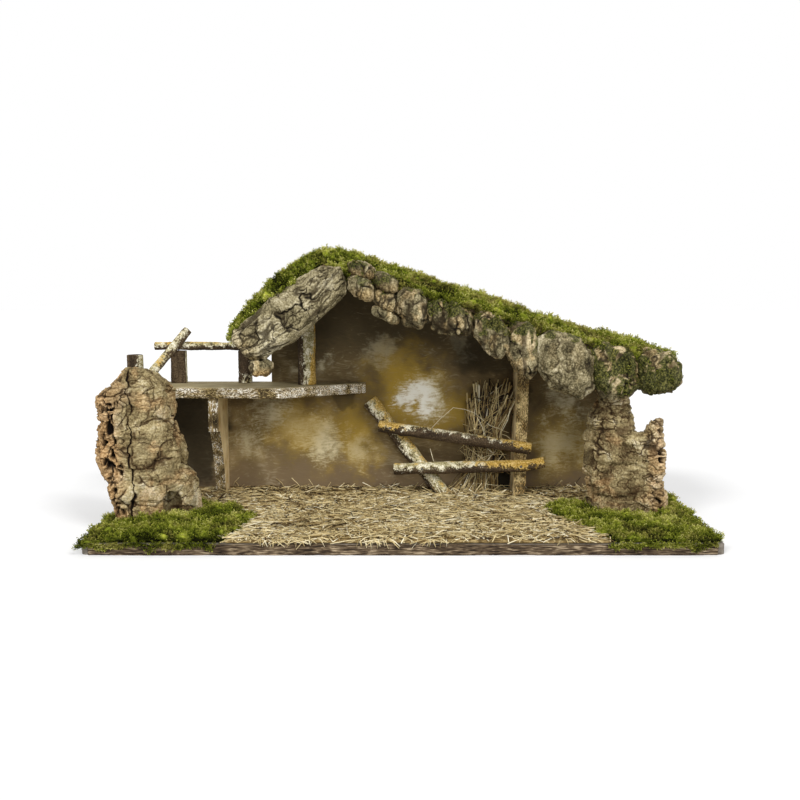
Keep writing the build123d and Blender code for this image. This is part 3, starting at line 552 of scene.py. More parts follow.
def dab_wall(wall, across, up, brush, sponge):
    """Lays the sponged patches over the wall's paint, each with a golden halo and a pale core."""
    ochre = colour(182, 150, 60)
    cream = colour(226, 215, 178)
    white = colour(255, 252, 238)
    for x, z, reach, gold_and_light_share, pale in wall_dabs:
        wide = ((across - x * mm) ** 2 + ((up - z * mm) * 0.9) ** 2) ** 0.5 * (1 / (reach * mm))
        halo = (1 - wall.step(wide + (brush - 0.5) * 0.7, 0.2, 1.5)) * gold_and_light_share
        core = (1 - wall.step(wide + (sponge - 0.5) * 0.8 + (brush - 0.5) * 1.6, 0.0, 1.05)) * pale
        wall.over(halo, ochre)
        wall.over(core, white if pale > white_from else cream)


def paint_wall_shade(wall, across, up):
    """Lays the painted shade, dark patches where shadow falls, over the wall's paint."""
    for x, z, wide, tall, dark in painted_wall_shades:
        beside = (across - x * mm) * (1 / (wide * mm))
        above = (up - z * mm) * (1 / (tall * mm))
        away = (beside**2 + above**2) ** 0.5
        wall.over((1 - wall.step(away, 0.7, 1.3)) * dark, colour(40, 35, 25))


def wall_finish():
    """Matt taupe paint with sponged patches of ochre and off-white on the front, painted shade under the roof
    and in dark patches, and plain board behind.
    """
    wall = Finish("painted_wall", 0.8)
    cloud = wall.speckle(60, 4.0, distortion=0.8)
    brush = wall.speckle(6, 6.0, stretch=(3.0, 1, 1), distortion=2.6, seed=2)
    sponge = wall.speckle(3.0, 6.0, distortion=1.2, seed=5)
    swirl = wall.vectors("SUBTRACT", wall.swirls(26, 3.0), (0.5, 0.5, 0.5))
    moved = wall.vectors("MULTIPLY", swirl, (0.075, 0, 0.06))
    moved = wall.vectors("ADD", wall.place, moved)
    across = wall.part(moved, "X")
    up = wall.part(moved, "Z")
    wall.shade = wall.ramp(
        cloud * 0.7 + brush * 0.3, (0.3, 82, 69, 46), (0.5, 112, 95, 64), (0.68, 148, 128, 88)
    )
    low = 1 - wall.step(up, 20 * mm, 65 * mm)
    wall.over(low * 0.75, colour(118, 100, 76))
    # Painted shade under the roof: the wall darker towards the top
    high = wall.step(up, 130 * mm, 205 * mm)
    wall.over(high * 0.75, colour(66, 58, 41))
    wisps = wall.step(brush + (cloud - 0.5) * 0.7, 0.56, 0.78)
    wall.over(wisps * 0.4, colour(164, 152, 124))
    dab_wall(wall, across, up, brush, sponge)
    # Painted shade: dark patches where shadow falls on the wall
    paint_wall_shade(wall, across, up)
    facing = wall.add("ShaderNodeNewGeometry", output="True Normal")
    back = wall.step(wall.part(facing, "Y"), -0.7, -0.3)
    grain = wall.speckle(2.4, 6.0, stretch=(18, 1, 1), distortion=0.3, seed=8)
    plain = wall.ramp(grain * 0.65 + cloud * 0.35, (0.3, 100, 84, 60), (0.7, 172, 150, 114))
    wall.over(back, plain)
    return wall.done(brush + sponge * 0.4, 0.25)


def board_finish(name, stretch, paint_from, paint, lit_side):
    """Stained board, edges dry-brushed with two paints from this level of the speckle, one side painted
    bright as painted light.
    """
    board = Finish(name, 0.75)
    grain = board.speckle(2.0, 6.0, stretch=stretch)
    broad = board.speckle(24, 3.0, seed=3)
    speck = board.speckle(0.8, 5.0, stretch=tuple(part**0.4 for part in stretch), distortion=0.3, seed=7)
    patch = board.speckle(16, 3.0, distortion=0.6, seed=9)
    facing = board.add("ShaderNodeNewGeometry", output="True Normal")
    top = board.part(facing, "Z")
    side = board.part(facing, "X")
    planed = board.ramp(
        grain * 0.6 + broad * 0.4, (0.3, 118, 105, 75), (0.5, 160, 146, 109), (0.7, 194, 180, 142)
    )
    sawn = board.ramp(
        grain * 0.5 + patch * 0.5, (0.32, 34, 28, 18), (0.48, 98, 82, 54), (0.62, 168, 144, 94)
    )
    brushed = board.ramp(patch, (0.4, *paint[0]), (0.6, *paint[1]))
    painted = board.step(speck + (patch - 0.5) * 0.32, paint_from, paint_from + 0.12)
    sawn = board.mix(painted * 0.95, sawn, brushed)
    # Painted light: the side that lit_side points to gets a bright cream as if lit
    lit = board.ramp(grain * 0.5 + patch * 0.5, (0.32, 190, 152, 88), (0.6, 252, 234, 186))
    board.shade = board.mix(board.step(side * lit_side, 0.5, 0.8), sawn, lit)
    board.over(board.step(top, 0.5, 0.8), planed)
    return board.done(grain + speck * 0.6, 0.4)


def branch_finish():
    """Branch with its bark on, crusted with pale and golden lichen where its notes say, and painted paler on
    the lit side as painted light.
    """
    bark = Finish("branch_bark")
    fine = bark.speckle(1.6, 6.0)
    spread = bark.speckle(8, 5.0, distortion=0.7, seed=4)
    gold = bark.speckle(10, 5.0, distortion=0.7, seed=8)
    base = bark.ramp(
        fine * 0.6 + bark.note("tone") * 0.4, (0.28, 34, 27, 20), (0.5, 72, 59, 44), (0.72, 116, 98, 74)
    )
    crust = bark.ramp(
        fine * 0.5 + spread * 0.5, (0.36, 96, 88, 52), (0.48, 174, 163, 118), (0.6, 246, 240, 216)
    )
    # The crust and gold notes hold the lichen and also painted light on the lit side
    crust_and_light_share = bark.step(spread * 0.8 + fine * 0.5 + bark.note("crust"), 0.58, 0.78)
    bark.shade = bark.mix(crust_and_light_share * 0.9, base, crust)
    ochre = bark.ramp(fine, (0.3, 120, 92, 36), (0.5, 190, 152, 68), (0.7, 226, 200, 128))
    gold_and_light_share = bark.step(gold * 0.8 + fine * 0.5 + bark.note("gold"), 0.6, 0.76)
    bark.over(gold_and_light_share * 0.92, ochre)
    sawn = bark.ramp(fine, (0.3, 36, 29, 21), (0.7, 98, 80, 58))
    bark.over(bark.note("cut"), sawn)
    return bark.done(fine + spread * 0.8, 0.6)


def strip_finish():
    """Dark bark strip with long streaks."""
    strip = Finish("strip_bark")
    streaks = strip.speckle(1.3, 6.0, stretch=(9, 1, 1), distortion=0.4)
    broad = strip.speckle(26, 3.0, seed=5)
    browns = (0.34, 22, 17, 12), (0.45, 62, 50, 38), (0.54, 102, 86, 66), (0.64, 172, 154, 126)
    strip.shade = strip.ramp(streaks * 0.7 + broad * 0.3, *browns)
    return strip.done(streaks, 0.6)


def plain_wood_finish(name, dark, light):
    """Raw board with straight grain."""
    wood = Finish(name, 0.7)
    grain = wood.speckle(2.4, 6.0, stretch=(18, 1, 1), distortion=0.3)
    broad = wood.speckle(30, 3.0, seed=2)
    wood.shade = wood.ramp(grain * 0.65 + broad * 0.35, (0.3, *dark), (0.7, *light))
    return wood.done(grain, 0.3)


def steel_finish():
    """Dull wire of the brads."""
    steel = Finish("brad_steel", 0.5, 0.5)
    steel.shader.inputs["Metallic"].default_value = 1.0
    dull = steel.speckle(0.8, 4.0)
    steel.shade = steel.ramp(dull, (0.3, 72, 70, 68), (0.7, 124, 121, 117))
    return steel.done()


cork_bark = cork_finish()
grey_bark = grey_bark_finish()
moss = moss_finish()
straw = straw_finish()
straw_bed = straw_bed_finish()
branch_bark = branch_finish()


# Where the roof is, read from its panels


def corners(node):
    """Lowest and highest corner of a solid in millimetres."""
    low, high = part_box(node)
    return np.array(low) / mm, np.array(high) / mm


right_low, right_high = corners("roof_panel_right")
left_low, left_high = corners("roof_panel_left")
ridge_x = right_low[0]
ridge_z = right_high[2]
panel_depth = 6
right_fall = (right_high[2] - right_low[2] - panel_depth) / (right_high[0] - right_low[0])
left_fall = (left_high[2] - left_low[2] - panel_depth) / (left_high[0] - left_low[0])


def roof_line(x):
    """Height of the roof panels' upper face."""
    return ridge_z - np.where(x < ridge_x, (ridge_x - x) * left_fall, (x - ridge_x) * right_fall)


# Cork piers


def fissures(points, places, seed):
    """Deep cracks that wander up a pier at these places across, from 0 beside them to 1 along them."""
    x, _, z = points.T
    deepest = np.zeros(len(points))
    for place in places:
        level = points_at(z, 0 * z + place, 0 * z)
        wander = x - place - 2.2 * waves(level / 8, seed + 1) - 0.9 * waves(level / 3, seed + 2)
        wander = wander - 5 * waves(level / 26, seed)
        gape = 0.5 + 2.0 * patches(level / 12, seed + 6, -0.4, 0.8)
        deepest = np.maximum(deepest, fade(np.abs(wander) / gape, 0.35, 1.2))
    return deepest


def pits(points, chain_x, share, seed):
    """Holes in the eroded side of a pier, most of them in a chain up it."""
    aside = points[:, 0] - chain_x - 4 * waves(in_a_row(points[:, 2]) / 17, seed + 8)
    chain = fade(np.abs(aside), 4.0, 12.0)
    edge, tone = plates(bent(points, 4.0, 9.0, seed + 7) / (8.5, 8.5, 11.5), seed + 7)
    return ease(edge, 0.05, 0.26) * (tone > 1 - share * (0.28 + 0.32 * chain))


def cork_pier(node, block, layers, crumble, pale, raw_side, raw_from, raw_share, fissure_places, seed):
    """Pier of cork bark in blocks of this size, with layers, cracks, fissures and one eroded side."""
    pier = Skin(node, 0.9)
    pier.points = bent(pier.points, 1.8, 13.0, seed + 3)
    points = pier.points
    block = np.array(block)
    jagged = bent(bent(points, 8.0, 27.0, seed), 2.6, 6.0, seed + 20)
    edge, tone = plates(jagged / block, seed)
    width = 0.035 + 0.08 * patches(points / 20, seed + 4, -0.2, 0.7)
    seam = fade(edge / width, 0.0, 1.0) * patches(points / 15, seed + 10, -0.75, -0.1)
    small_edge, small_tone = plates(jagged / (block * 0.4), seed + 9)
    small = fade(small_edge, 0.0, 0.11) * patches(points / 14, seed + 14, -0.15, 0.4)
    slits = veins(jagged / (36, 36, 6.5), 0.13, seed + 12)
    slits = slits * patches(points / (20, 20, 9), seed + 13, 0.0, 0.3)
    strata = waves(jagged / (44, 44, 3.4), seed + 2)
    strata = strata * patches(points / (26, 26, 20), seed + 5, -0.3, 0.4)
    fissure = fissures(points, fissure_places, seed)
    raw = ease(raw_side * (points[:, 0] - raw_from) + 10 * rough(points / 20, seed + 5), -6.0, 6.0)
    pit = pits(points, raw_from + 9 * raw_side, raw_share, seed) * ease(raw, 0.2, 0.8)
    swell = rough(points / 9, seed + 1)
    crumbs = rough(points / 2.8, seed + 11)
    relief = 1.5 * (tone - 0.5) + 0.9 * (small_tone - 0.5) + 0.8 * swell + (0.6 + 0.5 * raw) * crumbs
    pier.push(relief + layers * strata - 2.4 * seam - 1.2 * small - 0.9 * slits - 3.2 * fissure - 6.5 * pit)
    # Darkening of low layers, seams, slits, fissures and pits: partly the cork's own colour, partly painted
    # shade
    layered = 0.5 * ease(-strata, 0.25, 0.8) * layers
    crack = np.maximum.reduce([seam * 0.8, small * crumble, slits * 0.65, fissure, pit, layered])
    toned = pale + 0.5 * tone + 0.2 * small_tone + 0.3 * (0.5 + swell) + 0.3 * raw
    pier.notes = {"tone": toned, "crack": crack, "raw": raw * raw_share}
    return pier


def middle_x(node):
    """Middle of a solid across."""
    low, high = corners(node)
    return (low[0] + high[0]) / 2


left_core_x = middle_x("pier_left_core")
left_pier = cork_pier(
    "pier_left_bark",
    block=(30, 30, 24),
    layers=0.7,
    crumble=0.5,
    pale=-0.05,
    raw_side=-1,
    raw_from=left_core_x - 6,
    raw_share=1.0,
    fissure_places=(left_core_x + 1, left_core_x - 17),
    seed=11,
)
right_pier = cork_pier(
    "pier_right_bark",
    block=(24, 24, 13),
    layers=1.1,
    crumble=0.7,
    pale=-0.1,
    raw_side=1,
    raw_from=middle_x("pier_right_core") + 34,
    raw_share=0.5,
    fissure_places=(),
    seed=41,
)
skin_piece(left_pier, "left_pier_cork", cork_bark, "bark", "pier_left_bark")
skin_piece(right_pier, "right_pier_cork", cork_bark, "bark", "pier_right_bark")


# Bark along the roof's edge


def slab_bark():
    """Slab on the left pitch, with wrinkles that flow along it."""
    slab = Skin("roof_bark_slab", 0.9, 2)
    points = slab.points
    x, y, z = points.T
    steep = np.arctan(left_fall)
    run = (ridge_x - x) * np.cos(steep) + (ridge_z - z) * np.sin(steep)
    rise = (z - ridge_z) * np.cos(steep) + (ridge_x - x) * np.sin(steep)
    flowing = bent(bent(points_at(run, y, rise), 8.0, 26.0, 3), 2.2, 6.0, 23)
    edge, tone = plates(flowing / (36, 18, 13), 3)
    split = fade(edge, 0.0, 0.055) * patches(points / 18, 9, -0.5, 0.1)
    small_edge, small_tone = plates(flowing / (15, 10, 6), 33)
    folds = fade(small_edge, 0.0, 0.12) * patches(points / 17, 8, -0.3, 0.3)
    lines = veins(flowing / (24, 12, 3.2), 0.42, 7) * patches(points / 22, 18, -0.7, 0.0)
    swell = rough(flowing / (20, 14, 8), 5)
    relief = 1.6 * (tone - 0.5) + 0.7 * (small_tone - 0.5) + 1.0 * swell + 0.5 * rough(points / 2.8, 15)
    slab.push(relief - 2.2 * split - 1.3 * folds - 1.0 * lines)
    raw = ease(run + 8 * rough(points / 12, 6), 100.0, 118.0) * 0.25
    # Splits, folds and lines darkened: partly their own colour, partly painted shade
    crack = np.maximum.reduce([split, folds * 0.8, lines * 0.6])
    mossy = ease(rise + 9 * rough(points / 11, 9) + 10 * ease(run, 96.0, 122.0), 1.0, 10.0) * 0.9
    toned = 0.12 + 0.3 * tone + 0.5 * (0.5 + 0.5 * swell)
    slab.notes = {"tone": toned, "crack": crack, "raw": raw, "mossy": mossy}
    return slab


def roof_chunk(node, seed, ribbed=0.3, ringed=0.0, stain=0.0, raw=0.0, grow=1.8):
    """Chunk of bark on the roof's edge, as ribbed, ringed, stained and raw as said, grown by some."""
    chunk = Skin(node, 0.95, 3)
    points = chunk.points
    middle = (points.min(axis=0) + points.max(axis=0)) / 2
    jagged = bent(bent(points, 6.0, 17.0, seed), 2.2, 5.0, seed + 20)
    edge, tone = plates(jagged / (19, 19, 24), seed)
    split = fade(edge, 0.0, 0.1) * patches(points / 12, seed + 9, -0.1, 0.4) * (1 - 0.5 * ringed)
    ribs = veins(bent(points, 2.4, 15.0, seed + 30) / (5.5, 12, 46), 0.4, seed + 3) * ribbed
    folds = veins(jagged / (5, 7, 15), 0.3, seed + 5) * (1 - ringed)
    folds = folds * patches(points / 11, seed + 2, -0.3, 0.4)
    out = np.linalg.norm((bent(points, 3.0, 12.0, seed) - middle)[:, (0, 2)], axis=1)
    rings = ease(np.sin(out * 2 * pi / 5.2), 0.3, 1.0) * ringed * fade(out, 9.0, 15.0)
    swell = rough(points / (9, 9, 12), seed + 1)
    streaks = rough(jagged / (2.6, 2.6, 11), seed + 7)
    relief = grow + 1.4 * (tone - 0.5) + 1.7 * swell + 0.5 * streaks + 0.5 * rough(points / 2.8, seed + 4)
    chunk.push(relief - 2.4 * split - 1.2 * folds - 2.4 * ribs - 0.9 * rings)
    below = roof_line(points[:, 0]) - points[:, 2]
    mossy = ease(4.0 + 30.0 * stain - below + 26 * rough(points / 10, seed + 6), -8.0, 9.0)
    bare = ease(rough(jagged / (8, 8, 12), seed + 8), 0.02, 0.3)
    mossy = mossy * (1 - bare)
    # Painted shade in the hollows, laid into the crack note with the darker cracks, folds, ribs and rings
    painted_hollow_shade = 0.7 * ease(grow - relief, 0.6, 3.0) * (1 - 0.8 * ringed)
    crack = np.maximum.reduce([split, folds * 0.7, ribs * 0.65, rings * 0.6, painted_hollow_shade])
    # Raised swells and streaks painted lighter, a painted highlight, on top of the bark's own tone
    toned = 0.4 + 0.3 * (tone - 0.5) + 0.2 * swell + 0.3 * streaks + 0.2 * bare * (1 - ringed) + 0.08 * ringed
    lower = ease(middle[2] - points[:, 2], -3.0, 6.0)
    warm = np.maximum(raw * lower, 0.4 * bare * (1 - ringed))
    chunk.notes = {"tone": toned, "crack": crack, "raw": warm, "mossy": mossy}
    return chunk


chunk_looks = {
    "roof_bark_ridge_1": {"stain": -0.2, "raw": 0.5},
    "roof_bark_ridge_2": {"stain": -0.1, "raw": 0.5},
    "roof_bark_brow_1": {"ribbed": 0.6, "stain": -0.1, "raw": 0.3},
    "roof_bark_brow_2": {"raw": 0.3},
    "roof_bark_brow_3": {"stain": 0.2},
    "roof_bark_nose": {"ribbed": 0.5},
    "roof_bark_ribbed": {"ribbed": 1.0, "stain": 0.35},
    "roof_bark_folded": {"ribbed": 0.8, "stain": 0.4},
    "roof_bark_split": {"ribbed": 0.8, "stain": 0.55},
    "roof_bark_round": {"ribbed": 0.0, "ringed": 0.8},
    "roof_bark_mossy": {"stain": 1.2},
    "roof_bark_end": {"ribbed": 0.7, "stain": 1.1},
    "roof_bark_knob": {"raw": 0.9, "grow": 2.6},
}
left_slab = slab_bark()
skin_piece(left_slab, "roof_slab_bark", grey_bark, "grey_bark", "roof_bark_slab")
roof_chunks = []
for number, (node, look) in enumerate(chunk_looks.items()):
    chunk = roof_chunk(node, 101 + 10 * number, **look)
    skin_piece(chunk, node + "_rough", grey_bark, "grey_bark", node)
    roof_chunks.append(chunk)


# Moss


def upward(skin, low, high):
    """How much of a skin faces up, from 0 to 1."""
    return ease(skin.normals()[:, 2], low, high)


def moss_cushion(node, grid, sink, lump, seed, overhang=(0, 0, 0)):
    """Lumpy body of a moss cushion, which hangs over by this much at its left end."""
    body = Skin(node, grid, 2)
    from_end = body.points[:, :1] - body.points[:, 0].min()
    body.points = body.points + fade(from_end, 0.0, 22.0) * overhang
    points = body.points
    edge, clump = plates(bent(points, 4.0, 12.0, seed + 3) / (13, 13, 11), seed)
    tuft = ease(edge, 0.0, 0.5)
    relief = lump * (0.9 * rough(points / 22, seed) + 0.9 * (tuft - 0.4) + 0.5 * (clump - 0.5)) - sink
    body.push(relief * upward(body, -0.3, 0.2))
    count = len(body.points)
    tone = 0.05 + 0.8 * tuft + 0.6 * (clump - 0.4)
    body.notes = {"tone": tone, "tip": np.zeros(count), "dry": np.zeros(count)}
    return body


def grow_moss(batch, skin, wanted, density, length, dry, bright):
    """Sprigs over a skin, as dense as said where they are wanted, and about as bright."""
    count = int(skin.areas(wanted).sum() * density)
    roots, normals, faces = skin.spots(count, wanted)
    tone = chance.normal(bright, 0.18, count) + 0.6 * skin.notes["tone"][faces].mean(axis=1)
    batch.sprigs(roots - 0.6 * normals, normals, length, np.clip(tone, 0, 1), dry)


def hang_sprigs(batch, roots, facing, length, tone, dry):
    """Sprigs at these roots that all face one way."""
    batch.sprigs(roots, np.tile(facing, (len(roots), 1)), length, tone, dry)


front_edge = solid_box[0][1] / mm
base_top = corners("base_board")[1][2]
roof_moss_left = Batch()
cushion = moss_cushion("roof_moss_left", grid=2.0, sink=3.0, lump=4.4, seed=51, overhang=(-10, 0, -10))
roof_moss_left.skin(cushion)
cover = upward(cushion, -0.6, 0.0)
grow_moss(roof_moss_left, cushion, cover, density=0.3, length=4.2, dry=0.3, bright=0.16)
cover = ease(left_slab.notes["mossy"], 0.1, 0.8) * fade(left_slab.normals()[:, 1], -0.2, 0.9)
grow_moss(roof_moss_left, left_slab, cover, density=0.25, length=4.5, dry=0.2, bright=0.15)
roof_moss_left.piece("roof_moss_left_sprigs", moss, "moss", "roof_moss_left")

cushion = moss_cushion("roof_moss_right", grid=2.2, sink=2.6, lump=5.4, seed=61)
skin_piece(cushion, "roof_moss_right_cushion", moss, "moss", "roof_moss_right")
roof_moss_right = Batch()
cover = upward(cushion, -0.5, 0.1)
grow_moss(roof_moss_right, cushion, cover, density=0.28, length=4.0, dry=0.7, bright=0.26)
roof_moss_right.piece("roof_moss_right_sprigs", moss, "moss")

roof_edge_moss = Batch()
for chunk in roof_chunks:
    patchy = patches(chunk.points / 8, 66, -0.3, 0.3) * upward(chunk, -0.75, 0.2)
    cover = ease(chunk.notes["mossy"], 0.5, 0.95) * patchy + 1e-6
    grow_moss(roof_edge_moss, chunk, cover, density=0.22, length=3.0, dry=0.7, bright=0.0)
count = 2600
fringe_x = chance.uniform(ridge_x + 4, right_high[0] - 4, count)
hang = chance.uniform(-3, 9, count) * (0.7 + 0.7 * waves(in_a_row(fringe_x / 14), 65))
fringe = points_at(fringe_x, right_low[1] - chance.uniform(-2, 9, count), roof_line(fringe_x) - hang)
hang_sprigs(roof_edge_moss, fringe, (0, -0.8, 0.6), 4.6, chance.uniform(0.2, 0.8, count), 0.6)
count = 3000
gap_x = chance.uniform(ridge_x + 6, right_high[0] - 6, count)
ahead = right_low[1] - chance.uniform(-3, 3, count)
gaps = points_at(gap_x, ahead, roof_line(gap_x) - chance.uniform(5, 22, count))
hang_sprigs(roof_edge_moss, gaps, (0, -0.9, 0.1), 4.0, chance.uniform(-0.3, 0.2, count), 0.6)
roof_edge_moss.piece("roof_edge_moss_sprigs", moss, "moss")

# Moss on the base: its solid, seed, how bright it is, and how it hangs over at its left end
ground_mosses = (("ground_moss_left", 71, 0.03, (-6, 0, -4)), ("ground_moss_right", 81, 0.12, (0, 0, 0)))
for node, seed, bright, overhang in ground_mosses:
    ground_moss = Batch()
    cushion = moss_cushion(node, grid=1.8, sink=1.5, lump=5.4, seed=seed, overhang=overhang)
    ground_moss.skin(cushion)
    cover = upward(cushion, -0.9, -0.1)
    grow_moss(ground_moss, cushion, cover, density=0.36, length=4.0, dry=0.5, bright=bright)
    front = cushion.points[cushion.points[:, 1] < cushion.points[:, 1].min() + 6]
    count = 1000
    edge_x = chance.uniform(front[:, 0].min(), front[:, 0].max() - 8, count)
    ragged = waves(in_a_row(edge_x / 9), seed + 6)
    height = base_top + 1.5 - chance.uniform(-1, 6, count) * (0.7 + 0.8 * ragged)
    hanging = points_at(edge_x, front_edge - chance.uniform(-0.5, 1.8, count), height)
    hang_sprigs(ground_moss, hanging, (0, -0.7, -0.3), 3.8, chance.uniform(0.0, 0.7, count), 0.5)
    ground_moss.piece(node + "_sprigs", moss, "moss", node)


# Straw on the floor and the sheaf


def bowed(starts, ends, bow, rings=3):
    """Lines from starts to ends that bow a little out of straight."""
    share = np.linspace(0, 1, rings)[:, None]
    aside = chance.normal(size=(len(starts), 1, 3)) * bow
    return starts[:, None] * (1 - share) + ends[:, None] * share + aside * np.sin(pi * share)


def tones(mean, spread, count):
    """Chance tones of straws about this mean."""
    return np.clip(chance.normal(mean, spread, count), 0, 1)


def tuft(foot, spread, count):
    """Lines of straws that stick up here and there about a foot."""
    start = foot + chance.normal(size=(count, 3)) * spread
    lean = chance.choice((-1, 1), count) * chance.uniform(0.5, 1.4, count)
    ahead = points_at(np.sin(lean), chance.normal(-0.2, 0.3, count), np.cos(lean))
    return bowed(start, start + ahead * chance.uniform(6, 18, (count, 1)), 1.0)


mat = Skin("floor_straw", 1.6, 1)
mat.push(1.2 * rough(mat.points / 9, 91) * upward(mat, 0.2, 0.7))
mat_low, mat_high = corners("floor_straw")
mat_top = mat_high[2]
skin_piece(mat, "floor_straw_bed", straw_bed, "straw", "floor_straw")


def lying_straws():
    """Lines of straws that lie in clumps on the mat."""
    clumped = upward(mat, 0.5, 0.9) * (0.35 + patches(mat.points / 23, 98, -0.4, 0.5))
    roots, _, _ = mat.spots(9000, clumped)
    turn = chance.uniform(0, 2 * pi, len(roots))
    reach = np.clip(chance.lognormal(2.55, 0.5, len(roots)), 4, 46)[:, None]
    tilt = chance.normal(0, 0.11, len(roots))
    level = points_at(np.cos(turn), np.sin(turn), tilt)
    middle = roots + points_at(0 * turn, 0 * turn, chance.uniform(0.2, 4.2, len(roots)))
    lines = bowed(middle - level * reach / 2, middle + level * reach / 2, 0.7)
    lines[..., 2] = np.maximum(lines[..., 2], mat_top - 0.6)
    past_edge = lines[..., 1] < front_edge + 2
    lines[..., 2] = np.where(past_edge, np.minimum(lines[..., 2], mat_top - 0.2), lines[..., 2])
    inside = (lines[..., 1].min(axis=1) > front_edge - 4) & (lines[..., 1].max(axis=1) < mat_high[1])
    return lines[inside]


def draped_straws():
    """Lines of straws that hang over the front edge here and there."""
    edge_x = chance.uniform(mat_low[0] + 70, mat_high[0] - 60, 220)
    edge_x = edge_x[waves(in_a_row(edge_x / 30), 99) > 0.1]
    count = len(edge_x)
    set_back = front_edge + chance.uniform(3, 12, count)
    start = points_at(edge_x, set_back, mat_top + chance.uniform(0, 2, count))
    drape = in_a_row(chance.normal(0, 11, count))
    crest = start * (1, 0, 1) + (0, front_edge - 0.8, 0) + drape * 0.6
    droop = crest + drape * 0.4 - points_at(0 * edge_x, 0 * edge_x + 0.3, chance.uniform(0.5, 7, count))
    return np.stack([start, crest, droop], axis=1)


loose = Batch()
lines = lying_straws()
spread = waves(lines[:, 1] / 34, 97)
# Painted shade: straws darker towards the back wall
painted_back_shade = ease(lines[:, 1, 1], 20.0, mat_high[1])
tone = np.clip(chance.normal(0.58, 0.26, len(lines)) + 0.16 * spread - 0.2 * painted_back_shade, 0.02, 1)
loose.stems(lines, chance.uniform(0.6, 1.4, len(lines)), tone)
lines = draped_straws()
loose.stems(lines, chance.uniform(0.6, 1.2, len(lines)), chance.uniform(0.4, 1, len(lines)))
log_low, log_high = corners("leaning_log")
bracket_low, bracket_high = corners("loft_bracket")
sheaf_low, sheaf_high = corners("straw_sheaf")
# Tufts of straw: where they stand, how far they spread, and how many straws they have
tufts = (
    ((log_high[0] - 8, log_low[1] + 6, mat_top), (14, 5, 0.5), 70),
    ((bracket_high[0] + 4, bracket_low[1] - 4, mat_top), (16, 4, 0.5), 24),
    ((sheaf_low[0] + 18, sheaf_low[1] - 2, mat_top), (16, 4, 0.5), 60),
    ((190, mat_high[1] - 8, mat_top), (26, 4, 0.5), 40),
    ((-60, mat_high[1] - 6, mat_top), (90, 3, 0.5), 60),
)
for foot, spread, count in tufts:
    lines = tuft(foot, spread, count)
    lines[..., 1] = np.minimum(lines[..., 1], mat_high[1] - 0.8)
    loose.stems(lines, chance.uniform(0.5, 1.1, count), tones(0.5, 0.3, count))
loose.piece("floor_straw_stems", straw, "straw")


# Stalks of the sheaf: how many, thinnest, thickest, shortest, longest, tone, its spread, and how far out
stalk_kinds = (
    (260, 1.2, 2.2, 0.4, 0.92, 0.0, 0.05, 0.75),
    (420, 0.6, 1.2, 0.35, 0.85, 0.28, 0.3, 1.0),
    (100, 1.1, 2.1, 0.7, 1.0, 0.34, 0.3, 1.0),
)
sheaf_lean = 17
sheaf_foot = np.array([sheaf_low[0] + 24, (sheaf_low[1] + sheaf_high[1]) / 2, sheaf_low[2]])
sheaf_tall = sheaf_high[2] - sheaf_low[2]
sheaf_back = sheaf_high[1] - 0.8
# Straws that have come loose from the sheaf, through these points
loose_straws = (
    ((28, 84, 84), (42, 84, 99), (57, 85, 112), (70, 85, 110), (81, 85, 106), (98, 84, 92), (112, 83, 87)),
    ((112, 84, 86), (118, 84, 98), (121, 84, 112)),
    ((31, 82, 66), (35, 82, 52), (39, 82, 44)),
)


def sheaf_stalks(count, shortest, longest, outer):
    """Lines of stalks that are drawn together at the waist and spread at both ends."""
    shares = np.array([0.0, 0.25, 0.45, 0.7, 1.0])
    widths = np.array([26.0, 18.0, 14.5, 22.0, 36.0])
    spin = chance.uniform(0, 2 * pi, count)
    ring = outer * np.sqrt(chance.random(count))
    length = chance.uniform(shortest, longest, count)[:, None] * shares
    width = np.interp(length, shares, widths)
    beside = width * (ring * np.cos(spin))[:, None] + sheaf_lean * length
    behind = 0.55 * width * (ring * np.sin(spin))[:, None]
    lines = sheaf_foot + np.stack([beside, behind, sheaf_tall * length], axis=2)
    lines += chance.normal(0, 4.4, lines.shape) * shares[:, None] * (1, 0.5, 0.3)
    lines[..., 1] = np.minimum(lines[..., 1], sheaf_back)
    return lines


def sheaf_strays(count):
    """Lines of straws that lie across the stalks."""
    share = chance.uniform(0.05, 0.9, count)
    middle = sheaf_foot + points_at(sheaf_lean * share, chance.uniform(-15, 4, count), sheaf_tall * share)
    middle[:, 0] += chance.normal(0, 8, count)
    lean = chance.normal(0.45, 0.9, count)
    half = points_at(np.sin(lean), chance.normal(0, 0.15, count), np.cos(lean))
    half *= chance.uniform(6, 20, count)[:, None]
    lines = bowed(middle - half, middle + half, 2.0, 4)
    lines[..., 1] = np.minimum(lines[..., 1], sheaf_back)
    lines[..., 2] = np.clip(lines[..., 2], sheaf_low[2] + 1, sheaf_high[2])
    return lines


def sheaf_skirt(count):
    """Lines of straws that slope from the waist to the floor in front."""
    beside = chance.normal(5, 6, count)
    before = chance.uniform(-12, -4, count)
    waist = sheaf_foot + points_at(beside, before, chance.uniform(34, 50, count))
    beside = -chance.uniform(-12, 36, count)
    before = chance.uniform(-20, -6, count)
    ground = sheaf_foot + points_at(beside, before, chance.uniform(1, 6, count))
    return bowed(waist, ground, 1.6, 4)


sheaf = Batch()
for count, thin, thick, shortest, longest, tone, vary, outer in stalk_kinds:
    lines = sheaf_stalks(count, shortest, longest, outer)
    sheaf.stems(lines, chance.uniform(thin, thick, count), tones(tone, vary, count), 4)
lines = sheaf_strays(260)
sheaf.stems(lines, chance.uniform(0.5, 1.1, len(lines)), tones(0.4, 0.3, len(lines)))
lines = sheaf_skirt(90)
sheaf.stems(lines, chance.uniform(0.6, 1.2, len(lines)), tones(0.42, 0.28, len(lines)))
for path in loose_straws:
    sheaf.stems(np.array([path], float), np.array([0.8]), np.array([0.95]))
sheaf.piece("straw_sheaf_stalks", straw, "straw", "straw_sheaf")


# Branches


